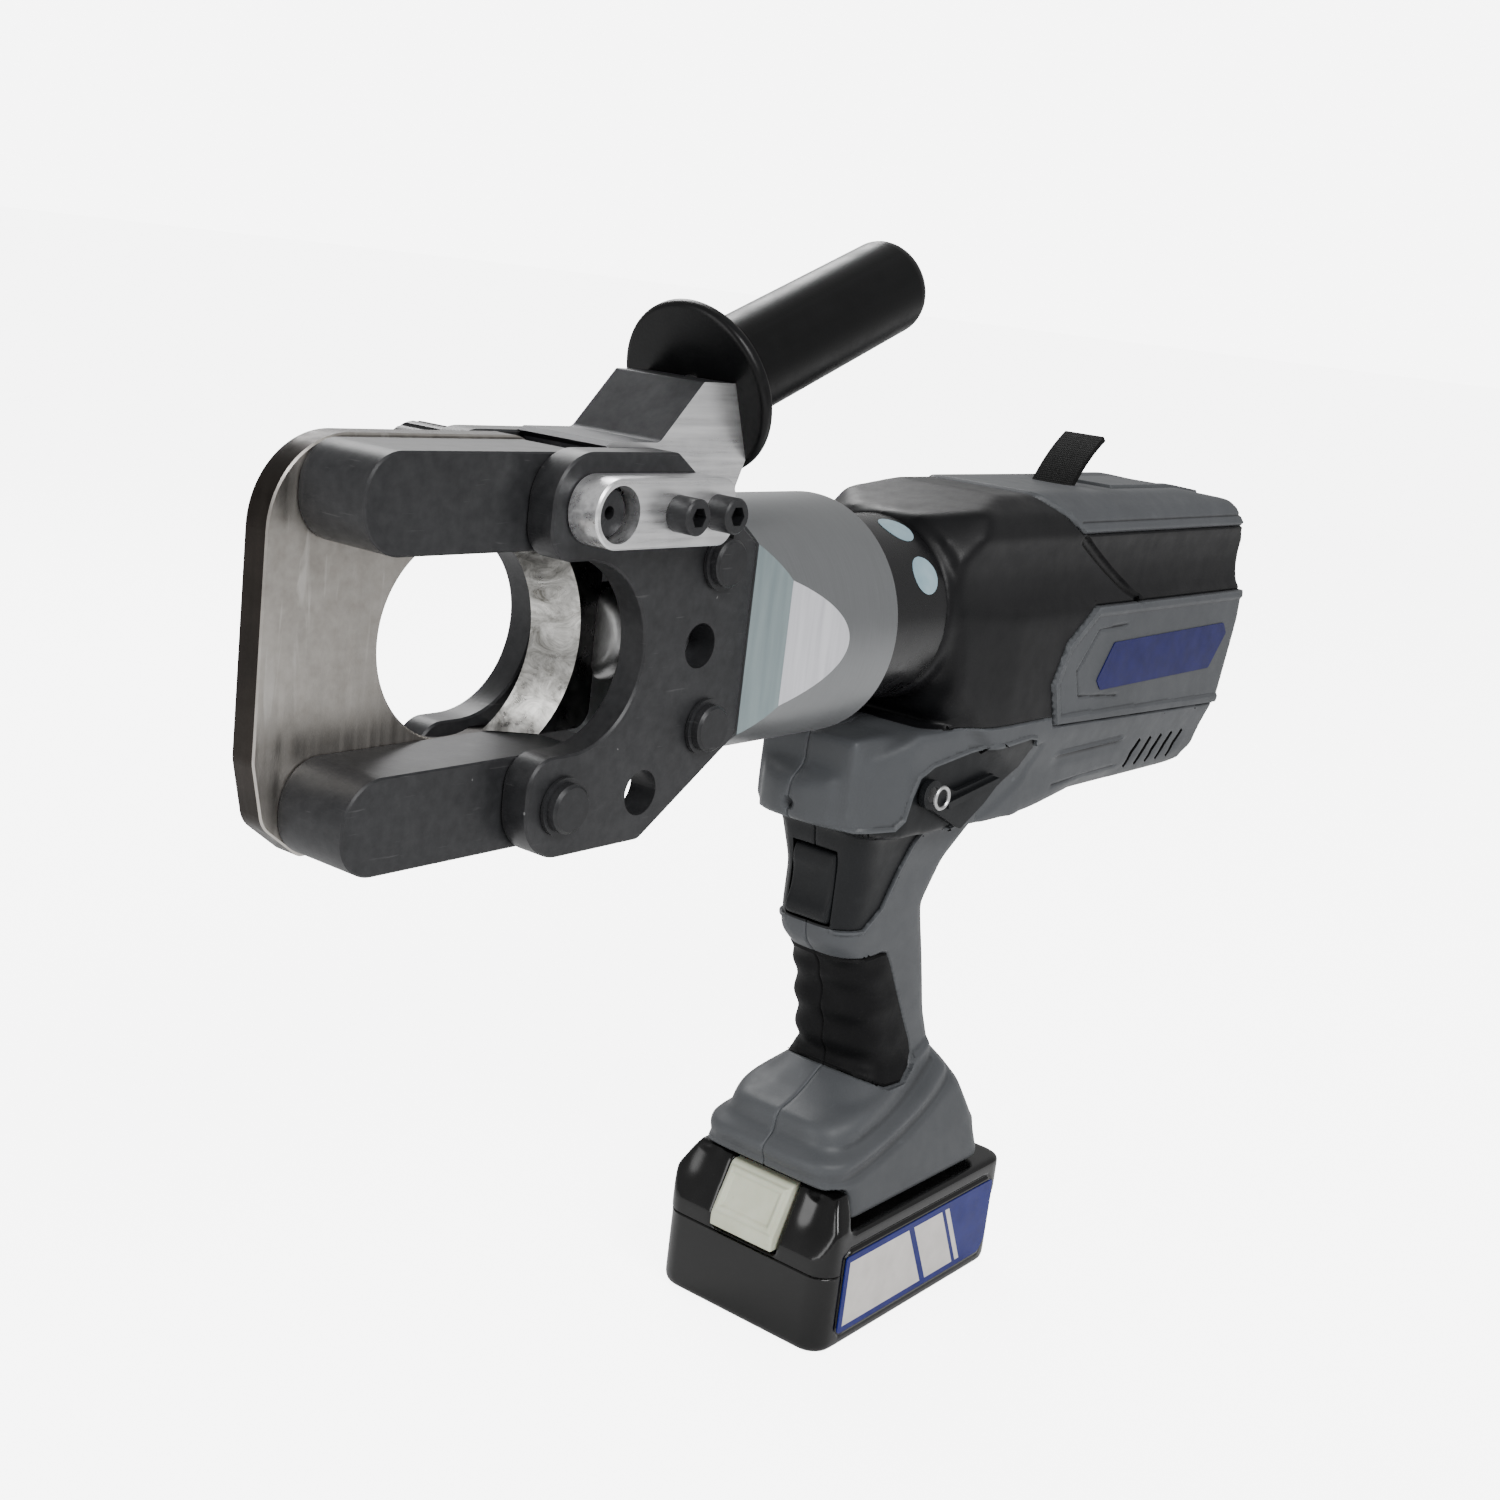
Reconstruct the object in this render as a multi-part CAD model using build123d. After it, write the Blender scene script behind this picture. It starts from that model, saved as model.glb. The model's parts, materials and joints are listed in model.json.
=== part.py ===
"""Cordless hydraulic cable cutter with a latched cutting head, a pistol grip and a slide-on battery.

Frame: origin at the middle of the battery's underside, +Z up, the head points to -X,
and the left side of the tool faces -Y. Millimetres.
"""

import math
import os

from build123d import *

# ---------------------------------------------------------------- driving dimensions
AXIS_Z = 262.0  # height of the head and motor axis above the battery's underside

CYLINDER_R = 39.0
CYLINDER_FRONT_X = -133.0
CYLINDER_REAR_X = -70.4
NECK_R = 28.45
BORE_R = 24.0
BORE_FRONT_X = -120.0
NECK_REAR_X = -24.0
ROD_R = 14.0
RUNNING_GAP = 0.05

PLATE_GAP_HALF = 16.8  # half the gap between the two side plates
PLATE_T = 9.5
PLATE_OUT = PLATE_GAP_HALF + PLATE_T
PLATE_REAR_X = -133.5
PLATE_HALF_H = 55.0
EAR_X = -220.5
SCALLOP_X = -205.5
SCALLOP_R = 26.3

PIN_R = 6.95
PIN_HOLE_R = 7.0
JAW_PIN_X = -207.0
JAW_PIN_DZ = 40.3
FRAME_PIN_X = -149.5
FRAME_PIN_DZ = 24.2
PIN_PROUD = 4.5
WINDOW_R = 6.6
WINDOW_X = -155.0  # the inspection hole on the axis, between the frame pins
SCREW_HOLE_R = 3.05  # close hole for the 6 mm socket screws
COUNTERBORE_R = 5.1
COUNTERBORE_Y = 11.5  # floor of the jaw bolts' counterbores
LANYARD_X = -174.5
LANYARD_DZ = -41.0

SHEAR_Y = 8.0  # the plane in which the two blades pass
JAW_FRONT_X = -283.4
JAW_REAR_X = -192.0
ARM_FRONT_X = -275.0
ARM_IN = 27.7
ARM_OUT = 53.6
MOUTH_X = -216.6
MOUTH_R = 28.7
BLADE_T = 10.6
BLADE_HALF_H = 27.4
EDGE_X = -220.4
EDGE_R = 31.3
BEVEL_X = -215.2
BEVEL_R = 35.2
BLADE_PIN_X = -162.0  # cross pin that holds the blade's tail in the ram
BLADE_PIN_HOLE_R = 3.0

BLOCK_T = 10.4
BLOCK_HALF_H = 9.3
BLOCK_X0 = -215.8
BLOCK_X1 = -159.3
BLOCK_SCREW_X = (-183.7, -167.3)

HANDLE_TILT = 21.5  # degrees above the tool axis
HANDLE_X = -138.5
HANDLE_DZ = 69.4
HANDLE_DISC_R = 26.6
HANDLE_DISC_T = 4.5
HANDLE_R = 15.2
HANDLE_L = 104.0

COLLAR_R = 31.3
COLLAR_BORE_R = NECK_R + RUNNING_GAP
COLLAR_REAR_X = -6.0

BODY_HALF_W = 36.0
CONE_R = 33.4  # the front of the body starts round and flares to the full section
CONE_FLARE = 0.62
WEDGE_X0 = -34.0  # the wedge's side wall runs straight from here ...
WEDGE_Y0 = 28.0
WEDGE_X1 = 34.0  # ... to here, in plan
WEDGE_Y1 = 32.5
BODY_REAR_X = 195.0
WALL = 2.6

STRAP_W = 17.0
STRAP_BEND = 70.0

BATTERY_L = 118.0
BATTERY_W = 75.0
BATTERY_DECK_Z = 44.5
BATTERY_WALL = 2.4
BATTERY_SPLIT_Z = 30.0  # the two case halves meet here
HOLLOW_TOP_Z = 42.0
LOWER_CORNER_R = 9.0
UPPER_CORNER_R = 8.0
SLOPE_INSET = 3.6  # the upper hollow stays clear of the sloping front
RAIL_X0 = -43.0  # the rails stop short of the shell's rounded back corners
RAIL_X1 = 41.5
RAIL_IN = 22.5
RAIL_NECK = 26.0
RAIL_OUT = 28.6
RAIL_TOP_Z = 51.9
RAIL_LIP_Z = 48.6

# ---------------------------------------------------------------- small helpers


def block(x0, x1, y0, y1, z0, z1):
    """A box between two corners."""
    return Pos((x0 + x1) / 2, (y0 + y1) / 2, (z0 + z1) / 2) * Box(x1 - x0, y1 - y0, z1 - z0)


def x_rod(radius, x0, x1, y=0.0, z=AXIS_Z):
    """A cylinder along X."""
    return Pos((x0 + x1) / 2, y, z) * Rot(0, 90, 0) * Cylinder(radius, x1 - x0)


def y_rod(radius, y0, y1, x, z):
    """A cylinder along Y."""
    return Pos(x, (y0 + y1) / 2, z) * Rot(90, 0, 0) * Cylinder(radius, y1 - y0)


def z_rod(radius, z0, z1, x, y=0.0):
    """A cylinder along Z."""
    return Pos(x, y, (z0 + z1) / 2) * Cylinder(radius, z1 - z0)


def x_tube(outer, inner, x0, x1):
    """A tube along the tool axis."""
    return x_rod(outer, x0, x1) - x_rod(inner, x0 - 1, x1 + 1)


def side_plane(y):
    """The X-Z plane at y, with heights counted from the tool axis; extrusion runs towards -Y."""
    return Plane(origin=(0, y, AXIS_Z), x_dir=(1, 0, 0), z_dir=(0, -1, 0))


def from_side(sketch, y0, y1):
    """Extrude a side-view sketch from y0 to y1 (y0 < y1)."""
    return extrude(side_plane(y1) * sketch, amount=y1 - y0, dir=(0, -1, 0))


def run(plane, points, amount):
    """Extrude a polygon along its plane's normal, whichever way round its points go."""
    face = plane * Polygon(*points, align=None)
    return extrude(face, amount=amount, dir=tuple(plane.z_dir))


def end_plane(x):
    """The Y-Z plane at x, with heights counted from the tool axis; its normal is +X."""
    return Plane(origin=(x, 0, AXIS_Z), x_dir=(0, 1, 0), z_dir=(1, 0, 0))


def outline(points, radii=()):
    """A closed outline; radii is a list of (corner index, fillet radius)."""
    shape = Polygon(*points, align=None)
    for index, radius in radii:
        x, y = points[index]
        corner = shape.vertices().sort_by_distance((x, y, 0))[0]
        shape = fillet(corner, radius)
    return shape


def spot(x, y, radius):
    """A filled circle in a sketch."""
    return Pos(x, y) * Circle(radius)


def area(x0, x1, y0, y1):
    """A filled rectangle in a sketch."""
    return Pos((x0 + x1) / 2, (y0 + y1) / 2) * Rectangle(x1 - x0, y1 - y0)


def broken(shape, axis, size):
    """Chamfer the outline on both flat faces of a plate whose thickness runs along axis."""
    faces = shape.faces().filter_by(axis).sort_by(axis)
    edges = faces[0].outer_wire().edges() + faces[-1].outer_wire().edges()
    return chamfer(edges, size)


def mirrored(shape):
    """The same shape on the other side of the tool."""
    return mirror(shape, about=Plane.XZ)


def hex_prism(across, length):
    """A hexagonal prism along Z, centred."""
    return extrude(RegularPolygon(across / 2, 6, major_radius=False), amount=length / 2, both=True)


def socket_screw(head_r, head_h, shank_r, shank_l, key):
    """A socket head screw along +Z, with the underside of its head at the origin."""
    head = Pos(0, 0, head_h / 2) * Cylinder(head_r, head_h)
    head = chamfer(head.edges().group_by(Axis.Z)[-1], 0.5)
    shank = Pos(0, 0, -shank_l / 2) * Cylinder(shank_r, shank_l)
    socket = Pos(0, 0, head_h) * hex_prism(key, head_h)
    return head + shank - socket


PARTS = {}


def keep(name, *solids):
    """Record a named piece, made of one or more separate solids."""
    flat = []
    for solid in solids:
        flat.extend(solid.solids())
    PARTS[name] = flat[0] if len(flat) == 1 else Compound(children=flat)


# ---------------------------------------------------------------- cutting head


def side_plate(y0, y1):
    """One side plate: two ears round an open scallop, cut corners at the back, and its holes."""
    corner_x = -173.0
    points = [
        (EAR_X, PLATE_HALF_H),
        (corner_x, PLATE_HALF_H),
        (PLATE_REAR_X, 29.0),
        (PLATE_REAR_X, -29.0),
        (corner_x, -PLATE_HALF_H),
        (EAR_X, -PLATE_HALF_H),
    ]
    shape = outline(points, [(0, 14.0), (5, 14.0), (1, 4.0), (4, 4.0), (2, 4.0), (3, 4.0)])
    shape -= spot(SCALLOP_X, 0, SCALLOP_R)
    shape -= area(EAR_X - 10, SCALLOP_X, -SCALLOP_R, SCALLOP_R)
    for sign in (1, -1):
        lip = shape.vertices().sort_by_distance((EAR_X, sign * SCALLOP_R, 0))[0]
        shape = fillet(lip, 9.0)
        shape -= spot(JAW_PIN_X, sign * JAW_PIN_DZ, PIN_HOLE_R)
        shape -= spot(FRAME_PIN_X, sign * FRAME_PIN_DZ, PIN_HOLE_R)
    shape -= spot(WINDOW_X, 0, WINDOW_R)
    shape -= spot(LANYARD_X, LANYARD_DZ, WINDOW_R)
    return broken(from_side(shape, y0, y1), Axis.Y, 0.6)


def jaw_outline():
    """The C-shaped jaw plate that carries the fixed blade."""
    points = [
        (JAW_FRONT_X, 54.6),
        (JAW_REAR_X, 54.6),
        (JAW_REAR_X, -54.6),
        (-266.9, -54.6),
        (-279.5, -45.0),
        (JAW_FRONT_X, -28.0),
    ]
    shape = outline(points, [(0, 24.0), (1, 10.0), (2, 10.0), (3, 4.0), (4, 8.0), (5, 10.0)])
    shape -= spot(MOUTH_X, 0, MOUTH_R)
    shape -= area(MOUTH_X, JAW_REAR_X + 5, -MOUTH_R, MOUTH_R)
    return shape


JAW_BOLTS = [(-262.0, 42.0), (-236.0, 43.0), (-262.0, -42.0), (-236.0, -43.0)]


def fixed_blade():
    """The jaw plate, its concave edge ground to a bevel on the outer side."""
    plate = broken(from_side(jaw_outline(), SHEAR_Y, PLATE_GAP_HALF - 0.1), Axis.Y, 0.5)
    bevel_depth = 8.0
    bevel = Cone(MOUTH_R, MOUTH_R + 5.6, bevel_depth)
    plate -= Pos(MOUTH_X, 11.0 + bevel_depth / 2, AXIS_Z) * Rot(-90, 0, 0) * bevel
    for sign in (1, -1):
        plate -= y_rod(PIN_HOLE_R, 0, 20, JAW_PIN_X, AXIS_Z + sign * JAW_PIN_DZ)
    for x, dz in JAW_BOLTS:
        plate -= y_rod(SCREW_HOLE_R, 0, 20, x, AXIS_Z + dz)
        plate -= y_rod(COUNTERBORE_R, COUNTERBORE_Y, 20, x, AXIS_Z + dz)
    return plate


def guide_arm(sign):
    """A thick bar on the jaw's left side; it guides one horn of the moving blade."""
    low, high = sorted((sign * ARM_IN, sign * ARM_OUT))
    points = [(ARM_FRONT_X, low), (JAW_REAR_X, low), (JAW_REAR_X, high), (ARM_FRONT_X, high)]
    inner, outer = (0, 3) if sign > 0 else (3, 0)
    shape = outline(points, [(inner, 12.6), (outer, 11.0), (2 if sign > 0 else 1, 8.0)])
    shape -= spot(JAW_PIN_X, sign * JAW_PIN_DZ, PIN_HOLE_R)
    arm = broken(from_side(shape, -PLATE_GAP_HALF + 0.1, SHEAR_Y), Axis.Y, 0.5)
    for x, dz in JAW_BOLTS:
        if dz * sign > 0:
            arm -= y_rod(SCREW_HOLE_R, -8.0, 10, x, AXIS_Z + dz)
    return arm


def jaw_bolt(x, dz):
    """A socket screw from the right side, holding a guide arm to the jaw plate."""
    screw = socket_screw(5.0, 5.0, 3.0, 18.0, 5.0)
    return Pos(x, COUNTERBORE_Y, AXIS_Z + dz) * Rot(-90, 0, 0) * screw


def shouldered_pin():
    """A head pin along Y with a retaining-ring groove beyond each plate."""
    end = PLATE_OUT + PIN_PROUD
    pin = y_rod(PIN_R, -end, end, 0, 0)
    pin = chamfer(pin.edges(), 0.8)
    for sign in (1, -1):
        y = sign * (PLATE_OUT + 0.9)
        groove = y_rod(PIN_R + 1, y - 0.6, y + 0.6, 0, 0) - y_rod(5.9, y - 1, y + 1, 0, 0)
        pin -= groove
    return pin


def circlip():
    """An open retaining ring for a head pin, along Y."""
    ring = y_rod(8.3, -0.55, 0.55, 0, 0) - y_rod(5.95, -1, 1, 0, 0)
    return ring - block(-2.5, 2.5, -1, 1, 0, 10)


def head_parts():
    """The cutting head without the pieces that slide in it."""
    left = side_plate(-PLATE_OUT, -PLATE_GAP_HALF)
    for x in BLOCK_SCREW_X:
        left -= y_rod(SCREW_HOLE_R, -30, 0, x, AXIS_Z + JAW_PIN_DZ)
    keep("left_side_plate", left)
    keep("right_side_plate", side_plate(PLATE_GAP_HALF, PLATE_OUT))
    keep("fixed_blade", fixed_blade())
    keep("upper_guide_arm", guide_arm(1))
    keep("lower_guide_arm", guide_arm(-1))
    keep("jaw_bolts", *[jaw_bolt(x, dz) for x, dz in JAW_BOLTS])

    keep("hinge_pin", Pos(JAW_PIN_X, 0, AXIS_Z - JAW_PIN_DZ) * shouldered_pin())
    frame_pins = [
        Pos(FRAME_PIN_X, 0, AXIS_Z + sign * FRAME_PIN_DZ) * shouldered_pin() for sign in (1, -1)
    ]
    keep("frame_pins", *frame_pins)
    places = [
        (JAW_PIN_X, -JAW_PIN_DZ, 180),
        (FRAME_PIN_X, FRAME_PIN_DZ, 0),
        (FRAME_PIN_X, -FRAME_PIN_DZ, 180),
    ]
    rings = []
    for x, dz, turn in places:
        for sign in (1, -1):
            spin = Rot(0, turn, 0)
            rings.append(Pos(x, sign * (PLATE_OUT + 0.9), AXIS_Z + dz) * spin * circlip())
    keep("circlips", *rings)


def cylinder_part():
    """Hydraulic cylinder: round barrel, two-step side facets, front tang, swivelling neck and bore."""
    barrel = x_rod(CYLINDER_R, CYLINDER_FRONT_X, CYLINDER_REAR_X)
    barrel = chamfer(barrel.edges().group_by(Axis.X)[-1], 2.4)
    facet = [
        (CYLINDER_FRONT_X - 1, 25.6),
        (-124.3, 34.1),
        (-98.7, CYLINDER_R),
        (-98.7, CYLINDER_R + 5),
        (CYLINDER_FRONT_X - 1, CYLINDER_R + 5),
    ]
    cut = run(Plane.XY.offset(AXIS_Z - CYLINDER_R - 1), facet, 2 * CYLINDER_R + 2)
    barrel = barrel - cut - mirrored(cut)
    tang = block(-164, CYLINDER_FRONT_X + 1, -16.7, 16.7, AXIS_Z - 35, AXIS_Z + 35)
    tang = fillet(tang.edges().filter_by(Axis.Y).group_by(Axis.X)[0], 7)
    for sign in (1, -1):
        tang -= y_rod(PIN_HOLE_R, -20, 20, FRAME_PIN_X, AXIS_Z + sign * FRAME_PIN_DZ)
    neck = x_rod(NECK_R, CYLINDER_REAR_X - 1, NECK_REAR_X)
    neck -= x_tube(NECK_R + 1, 27.2, -31.1, -28.5)
    body = barrel + tang + neck
    body -= x_rod(BORE_R, BORE_FRONT_X, NECK_REAR_X + 1)
    body -= x_rod(ROD_R + RUNNING_GAP, -170, BORE_FRONT_X + 1)
    body -= x_rod(17.0, -128.2, -123.8)
    return body


def latch_block():
    """Thick link on the left plate; the lock pin's end sits in its hole."""
    length = BLOCK_X1 - BLOCK_X0
    middle = (BLOCK_X0 + BLOCK_X1) / 2
    shape = Pos(middle, JAW_PIN_DZ) * Rectangle(length, 2 * BLOCK_HALF_H)
    left = shape.vertices().group_by(Axis.X)[0]
    shape = fillet(left, BLOCK_HALF_H - 0.1)
    right = shape.vertices().group_by(Axis.X)[-1]
    shape = fillet(right, 5.5)
    shape -= spot(JAW_PIN_X + 0.3, JAW_PIN_DZ, 7.6)
    for x in BLOCK_SCREW_X:
        shape -= spot(x, JAW_PIN_DZ, SCREW_HOLE_R)
    return broken(from_side(shape, -PLATE_OUT - BLOCK_T, -PLATE_OUT), Axis.Y, 0.5)


def latch_screws():
    """Two long socket screws through the link and the left plate into the handle bracket."""
    screws = []
    for x in BLOCK_SCREW_X:
        screw = socket_screw(5.0, 7.4, 3.0, 34.0, 5.0)
        place = Pos(x, -PLATE_OUT - BLOCK_T, AXIS_Z + JAW_PIN_DZ)
        screws.append(place * Rot(90, 0, 0) * screw)
    return screws


def handle_place():
    """Local frame of the carrying handle: +Z runs along it, the origin on the bracket's back."""
    return Pos(HANDLE_X, 0, AXIS_Z + HANDLE_DZ) * Rot(0, 90 - HANDLE_TILT, 0)


def handle_bracket():
    """Aluminium block between the side plates with an inclined seat for the handle."""
    tilt = math.radians(HANDLE_TILT)

    def seat(distance):
        return (
            HANDLE_X - distance * math.sin(tilt),
            HANDLE_DZ + distance * math.cos(tilt),
        )

    top = 73.5
    points = [
        (-192.5, 55.2),
        (-190.0, 56.4),
        (-170.7, 56.4),
        (-154.1, top),
        seat((top - HANDLE_DZ) / math.cos(tilt)),
        seat(-19.0),
        (-134.8, 44.0),
        (-134.8, 36.0),
        (-190.0, 36.0),
        (-190.0, 53.6),
    ]
    shape = outline(points, [(2, 3.0), (3, 1.0), (8, 2.0)])
    body = from_side(shape, -16.7, 16.7)
    body -= handle_place() * Pos(0, 0, -8) * Cylinder(5.0, 16.0)
    for x in BLOCK_SCREW_X:
        body -= y_rod(SCREW_HOLE_R, -20, -2, x, AXIS_Z + JAW_PIN_DZ)
    return body


def handle_parts():
    """Side handle: moulded grip with a hand guard, on a threaded stud."""
    guard = Pos(0, 0, HANDLE_DISC_T / 2) * Cylinder(HANDLE_DISC_R, HANDLE_DISC_T)
    guard = fillet(guard.edges(), 1.8)
    shank = Pos(0, 0, HANDLE_L / 2) * Cylinder(HANDLE_R, HANDLE_L)
    shank = fillet(shank.edges().group_by(Axis.Z)[-1], 7.0)
    grip = guard + shank
    grip -= Pos(0, 0, 20) * Cylinder(5.0, 41.0)
    stud = Pos(0, 0, 12) * Cylinder(4.95, 54.0)
    keep("handle_grip", handle_place() * grip)
    keep("handle_stud", handle_place() * chamfer(stud.edges(), 0.8))


def ring(inner, outer, x0, x1):
    """A seal ring of round-cornered section round the tool axis."""
    shape = x_tube(outer, inner, x0, x1)
    return fillet(shape.edges(), 0.4)


# ---------------------------------------------------------------- sliding pieces of the head


def moving_blade():
    """Concave moving blade with a wide bevel on its left side and a tail in the ram's slot."""
    low = SHEAR_Y - 0.1 - BLADE_T
    high = SHEAR_Y - 0.1
    shape = area(-207, -173, -BLADE_HALF_H, BLADE_HALF_H)
    shape = fillet(shape.vertices().group_by(Axis.X)[-1], 6.0)
    shape += area(-176, -151, -10.5, 10.5)
    blade = from_side(shape, low, high)
    edge_circle = side_plane(high + 0.01) * spot(EDGE_X, 0, EDGE_R)
    bevel_circle = side_plane(low - 0.01) * spot(BEVEL_X, 0, BEVEL_R)
    blade -= loft([edge_circle, bevel_circle])
    return blade - y_rod(BLADE_PIN_HOLE_R, -20, 20, BLADE_PIN_X, AXIS_Z)


def ram_part():
    """Piston and rod in one piece, slotted at the front for the blade's tail."""
    rod = x_rod(ROD_R, -174, -50)
    rod = fillet(rod.edges().group_by(Axis.X)[0], 5.0)
    piston = x_rod(BORE_R - RUNNING_GAP, -58, -42)
    piston = chamfer(piston.edges(), 0.6)
    piston -= x_tube(BORE_R + 1, 21.4, -52.0, -48.0)
    ram = rod + piston
    ram -= block(-180, -150, SHEAR_Y - BLADE_T - 0.15, SHEAR_Y - 0.05, AXIS_Z - 20, AXIS_Z + 20)
    return ram - y_rod(BLADE_PIN_HOLE_R, -20, 20, BLADE_PIN_X, AXIS_Z)


def lock_pin_parts():
    """The pull-out pin that locks the jaw shut, and its knurled knob on the right side."""
    pin = y_rod(PIN_R, -33.0, 38.0, JAW_PIN_X, AXIS_Z + JAW_PIN_DZ)
    pin = chamfer(pin.edges(), 1.0)
    pin -= y_rod(1.8, -34.0, -27.0, JAW_PIN_X, AXIS_Z + JAW_PIN_DZ)
    keep("lock_pin", pin)
    knob = Pos(0, 0, 8) * Cylinder(13.7, 16.0)
    knob = fillet(knob.edges().group_by(Axis.Z)[-1], 2.0)
    knob = fillet(knob.edges().group_by(Axis.Z)[0], 0.6)
    flutes = 16
    for index in range(flutes):
        knob -= Rot(0, 0, index * 360 / flutes) * Pos(14.7, 0, 8) * Cylinder(1.7, 20.0)
    knob -= Pos(0, 0, 5.4) * Cylinder(PIN_R, 10.9)
    place = Pos(JAW_PIN_X, PLATE_OUT + 0.9, AXIS_Z + JAW_PIN_DZ) * Rot(-90, 0, 0)
    keep("lock_knob", place * knob)


# ---------------------------------------------------------------- housing


def rounded_section(z, x0, x1, half_w, radius):
    """One level of the grip: a rounded rectangle at height z."""
    sketch = Pos((x0 + x1) / 2, 0) * RectangleRounded(x1 - x0, 2 * half_w, radius)
    return Plane.XY.offset(z) * sketch


# height, front x, back x, half width, corner radius
GRIP_LEVELS = [
    (196.0, -46.0, 50.0, 24.0, 10.0),
    (182.0, -47.0, 34.0, 20.0, 11.0),
    (168.0, -44.0, 19.0, 18.0, 11.5),
    (152.0, -46.0, 10.5, 17.0, 12.0),
    (143.0, -44.0, 13.0, 17.0, 12.0),
    (132.0, -31.5, 16.5, 17.0, 12.0),
    (107.0, -25.0, 23.0, 17.2, 12.0),
    (92.0, -20.0, 29.0, 18.0, 12.0),
    (85.0, -31.0, 36.0, 22.0, 13.0),
    (77.0, -45.0, 42.0, 27.0, 14.0),
    (64.0, -54.0, 47.0, 30.5, 12.0),
    (46.2, -52.0, 50.0, 34.0, 10.0),
]


def grip_solid(inset):
    """Grip and battery foot, as a ruled stack of rounded levels; inset thins it for the cavity."""
    sections = []
    for z, x0, x1, half_w, radius in GRIP_LEVELS:
        sections.append(
            rounded_section(z, x0 + inset, x1 - inset, half_w - inset, radius - inset)
        )
    return loft(sections, ruled=True)


def body_solid(inset):
    """Motor body: a side profile crossed with an end profile, thinned by inset for the cavity."""
    side = [
        (-30.0 + inset, 33.0 - inset),
        (8.0, 40.6 - inset),
        (150.0, 40.6 - inset),
        (184.0 - inset, 37.0 - inset),
        (BODY_REAR_X - inset, 22.0),
        (BODY_REAR_X - inset, -12.0),
        (182.0 - inset, -66.0 + inset),
        (168.0 - inset, -75.5 + inset),
        (28.0, -75.5 + inset),
        (24.0, -56.0),
        (-19.0 + inset, -36.0),
    ]
    half_w = BODY_HALF_W - inset
    end_right = [
        (22.0, 41.0 - inset),
        (31.0 - inset, 35.0 - inset),
        (34.0 - inset, 27.5),
        (32.6 - inset, 24.0),
        (31.6 - inset, 14.0),
        (32.6 - inset, 4.0),
        (half_w, 1.0),
        (half_w, -46.0),
        (half_w - 3.5, -58.0),
        (half_w - 5.0, -68.0),
        (24.0, -76.0 + inset),
    ]
    end = end_right + [(-y, z) for y, z in reversed(end_right)]
    long_run = run(side_plane(60), side, 120)
    end_run = run(end_plane(-60), end, 300)
    # The front tapers in plan from the full width to just outside the collar.
    taper = [
        (-32.0, 0.0),
        (-32.0, 33.0 - inset),
        (14.0, half_w + 0.1),
        (240.0, half_w + 0.1),
        (240.0, 0.0),
    ]
    taper_run = run(Plane.XY.offset(150), taper, 200)
    taper_run += mirrored(taper_run)
    cone_l = 90.0
    cone = Cone(CONE_R - inset, CONE_R - inset + cone_l * CONE_FLARE, cone_l)
    cone = Pos(-33.0 + cone_l / 2, 0, AXIS_Z) * Rot(0, 90, 0) * cone
    cone += block(-33.0 + cone_l, BODY_REAR_X + 10, -60, 60, AXIS_Z - 100, AXIS_Z + 60)
    return long_run & end_run & taper_run & cone


def nose_solid(inset):
    """The wedge under the cylinder, from the pointed nose back into the body."""
    side = [
        (-65.5 + inset, -71.0 + inset),
        (-65.5 + inset, -58.0),
        (-52.0 + inset, -48.5 - inset),
        (-30.0, -39.5 - inset),
        (WEDGE_X1 - inset, -39.5 - inset),
        (WEDGE_X1 - inset, -77.0 + inset),
        (-40.0, -77.0 + inset),
        (-58.0, -73.0 + inset),
    ]
    side_run = run(side_plane(60), side, 120)
    plan_points = [
        (-66.0 + inset, 0.0),
        (-66.0 + inset, 5.0),
        (-62.0 + inset / 2, 14.0 - inset),
        (-50.0, 22.5 - inset),
        (WEDGE_X0, WEDGE_Y0 - inset),
        (WEDGE_X1, WEDGE_Y1 - inset),
        (WEDGE_X1, 0.0),
    ]
    plan_run = run(Plane.XY.offset(150), plan_points, 120)
    plan_run += mirrored(plan_run)
    return side_run & plan_run


def panel_prism():
    """The side panel's outline, running right across the tool."""
    points = [
        (66.0, 1.0),
        (200.0, 1.0),
        (200.0, -48.0),
        (46.0, -43.0),
        (40.0, -27.0),
        (47.0, -12.0),
    ]
    return from_side(outline(points, [(3, 3.0), (4, 3.0), (5, 3.0)]), -60, 60)


def cover_prism():
    """The top cover's region, with its slanted front edge."""
    points = [(22.0, 45.0), (52.0, 27.5), (210.0, 27.5), (210.0, 45.0)]
    return from_side(outline(points), -60, 60)


def cowl_prism():
    """The region of the one-piece dark cowl: the front cone and the channels above the panels."""
    points = [
        (-60.0, -39.5),
        (47.0, -39.5),
        (47.0, -44.0),
        (210.0, -44.0),
        (210.0, 60.0),
        (-60.0, 60.0),
    ]
    return from_side(outline(points), -60, 60)


def inlay_prism():
    """The dark inlay's outline, from the trigger round to the release lever."""
    points = [
        (-62.0, -73.5),
        (-34.0, -73.5),
        (-27.0, -66.0),
        (-22.0, -55.5),
        (8.0, -49.0),
        (34.0, -50.0),
        (31.0, -57.0),
        (14.0, -63.0),
        (-4.0, -70.0),
        (-14.0, -84.0),
        (-25.0, -106.0),
        (-34.0, -112.5),
        (-62.0, -112.5),
    ]
    return from_side(outline(points, [(2, 4.0), (3, 5.0), (4, 6.0), (5, 2.0)]), -60, 60)


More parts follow.
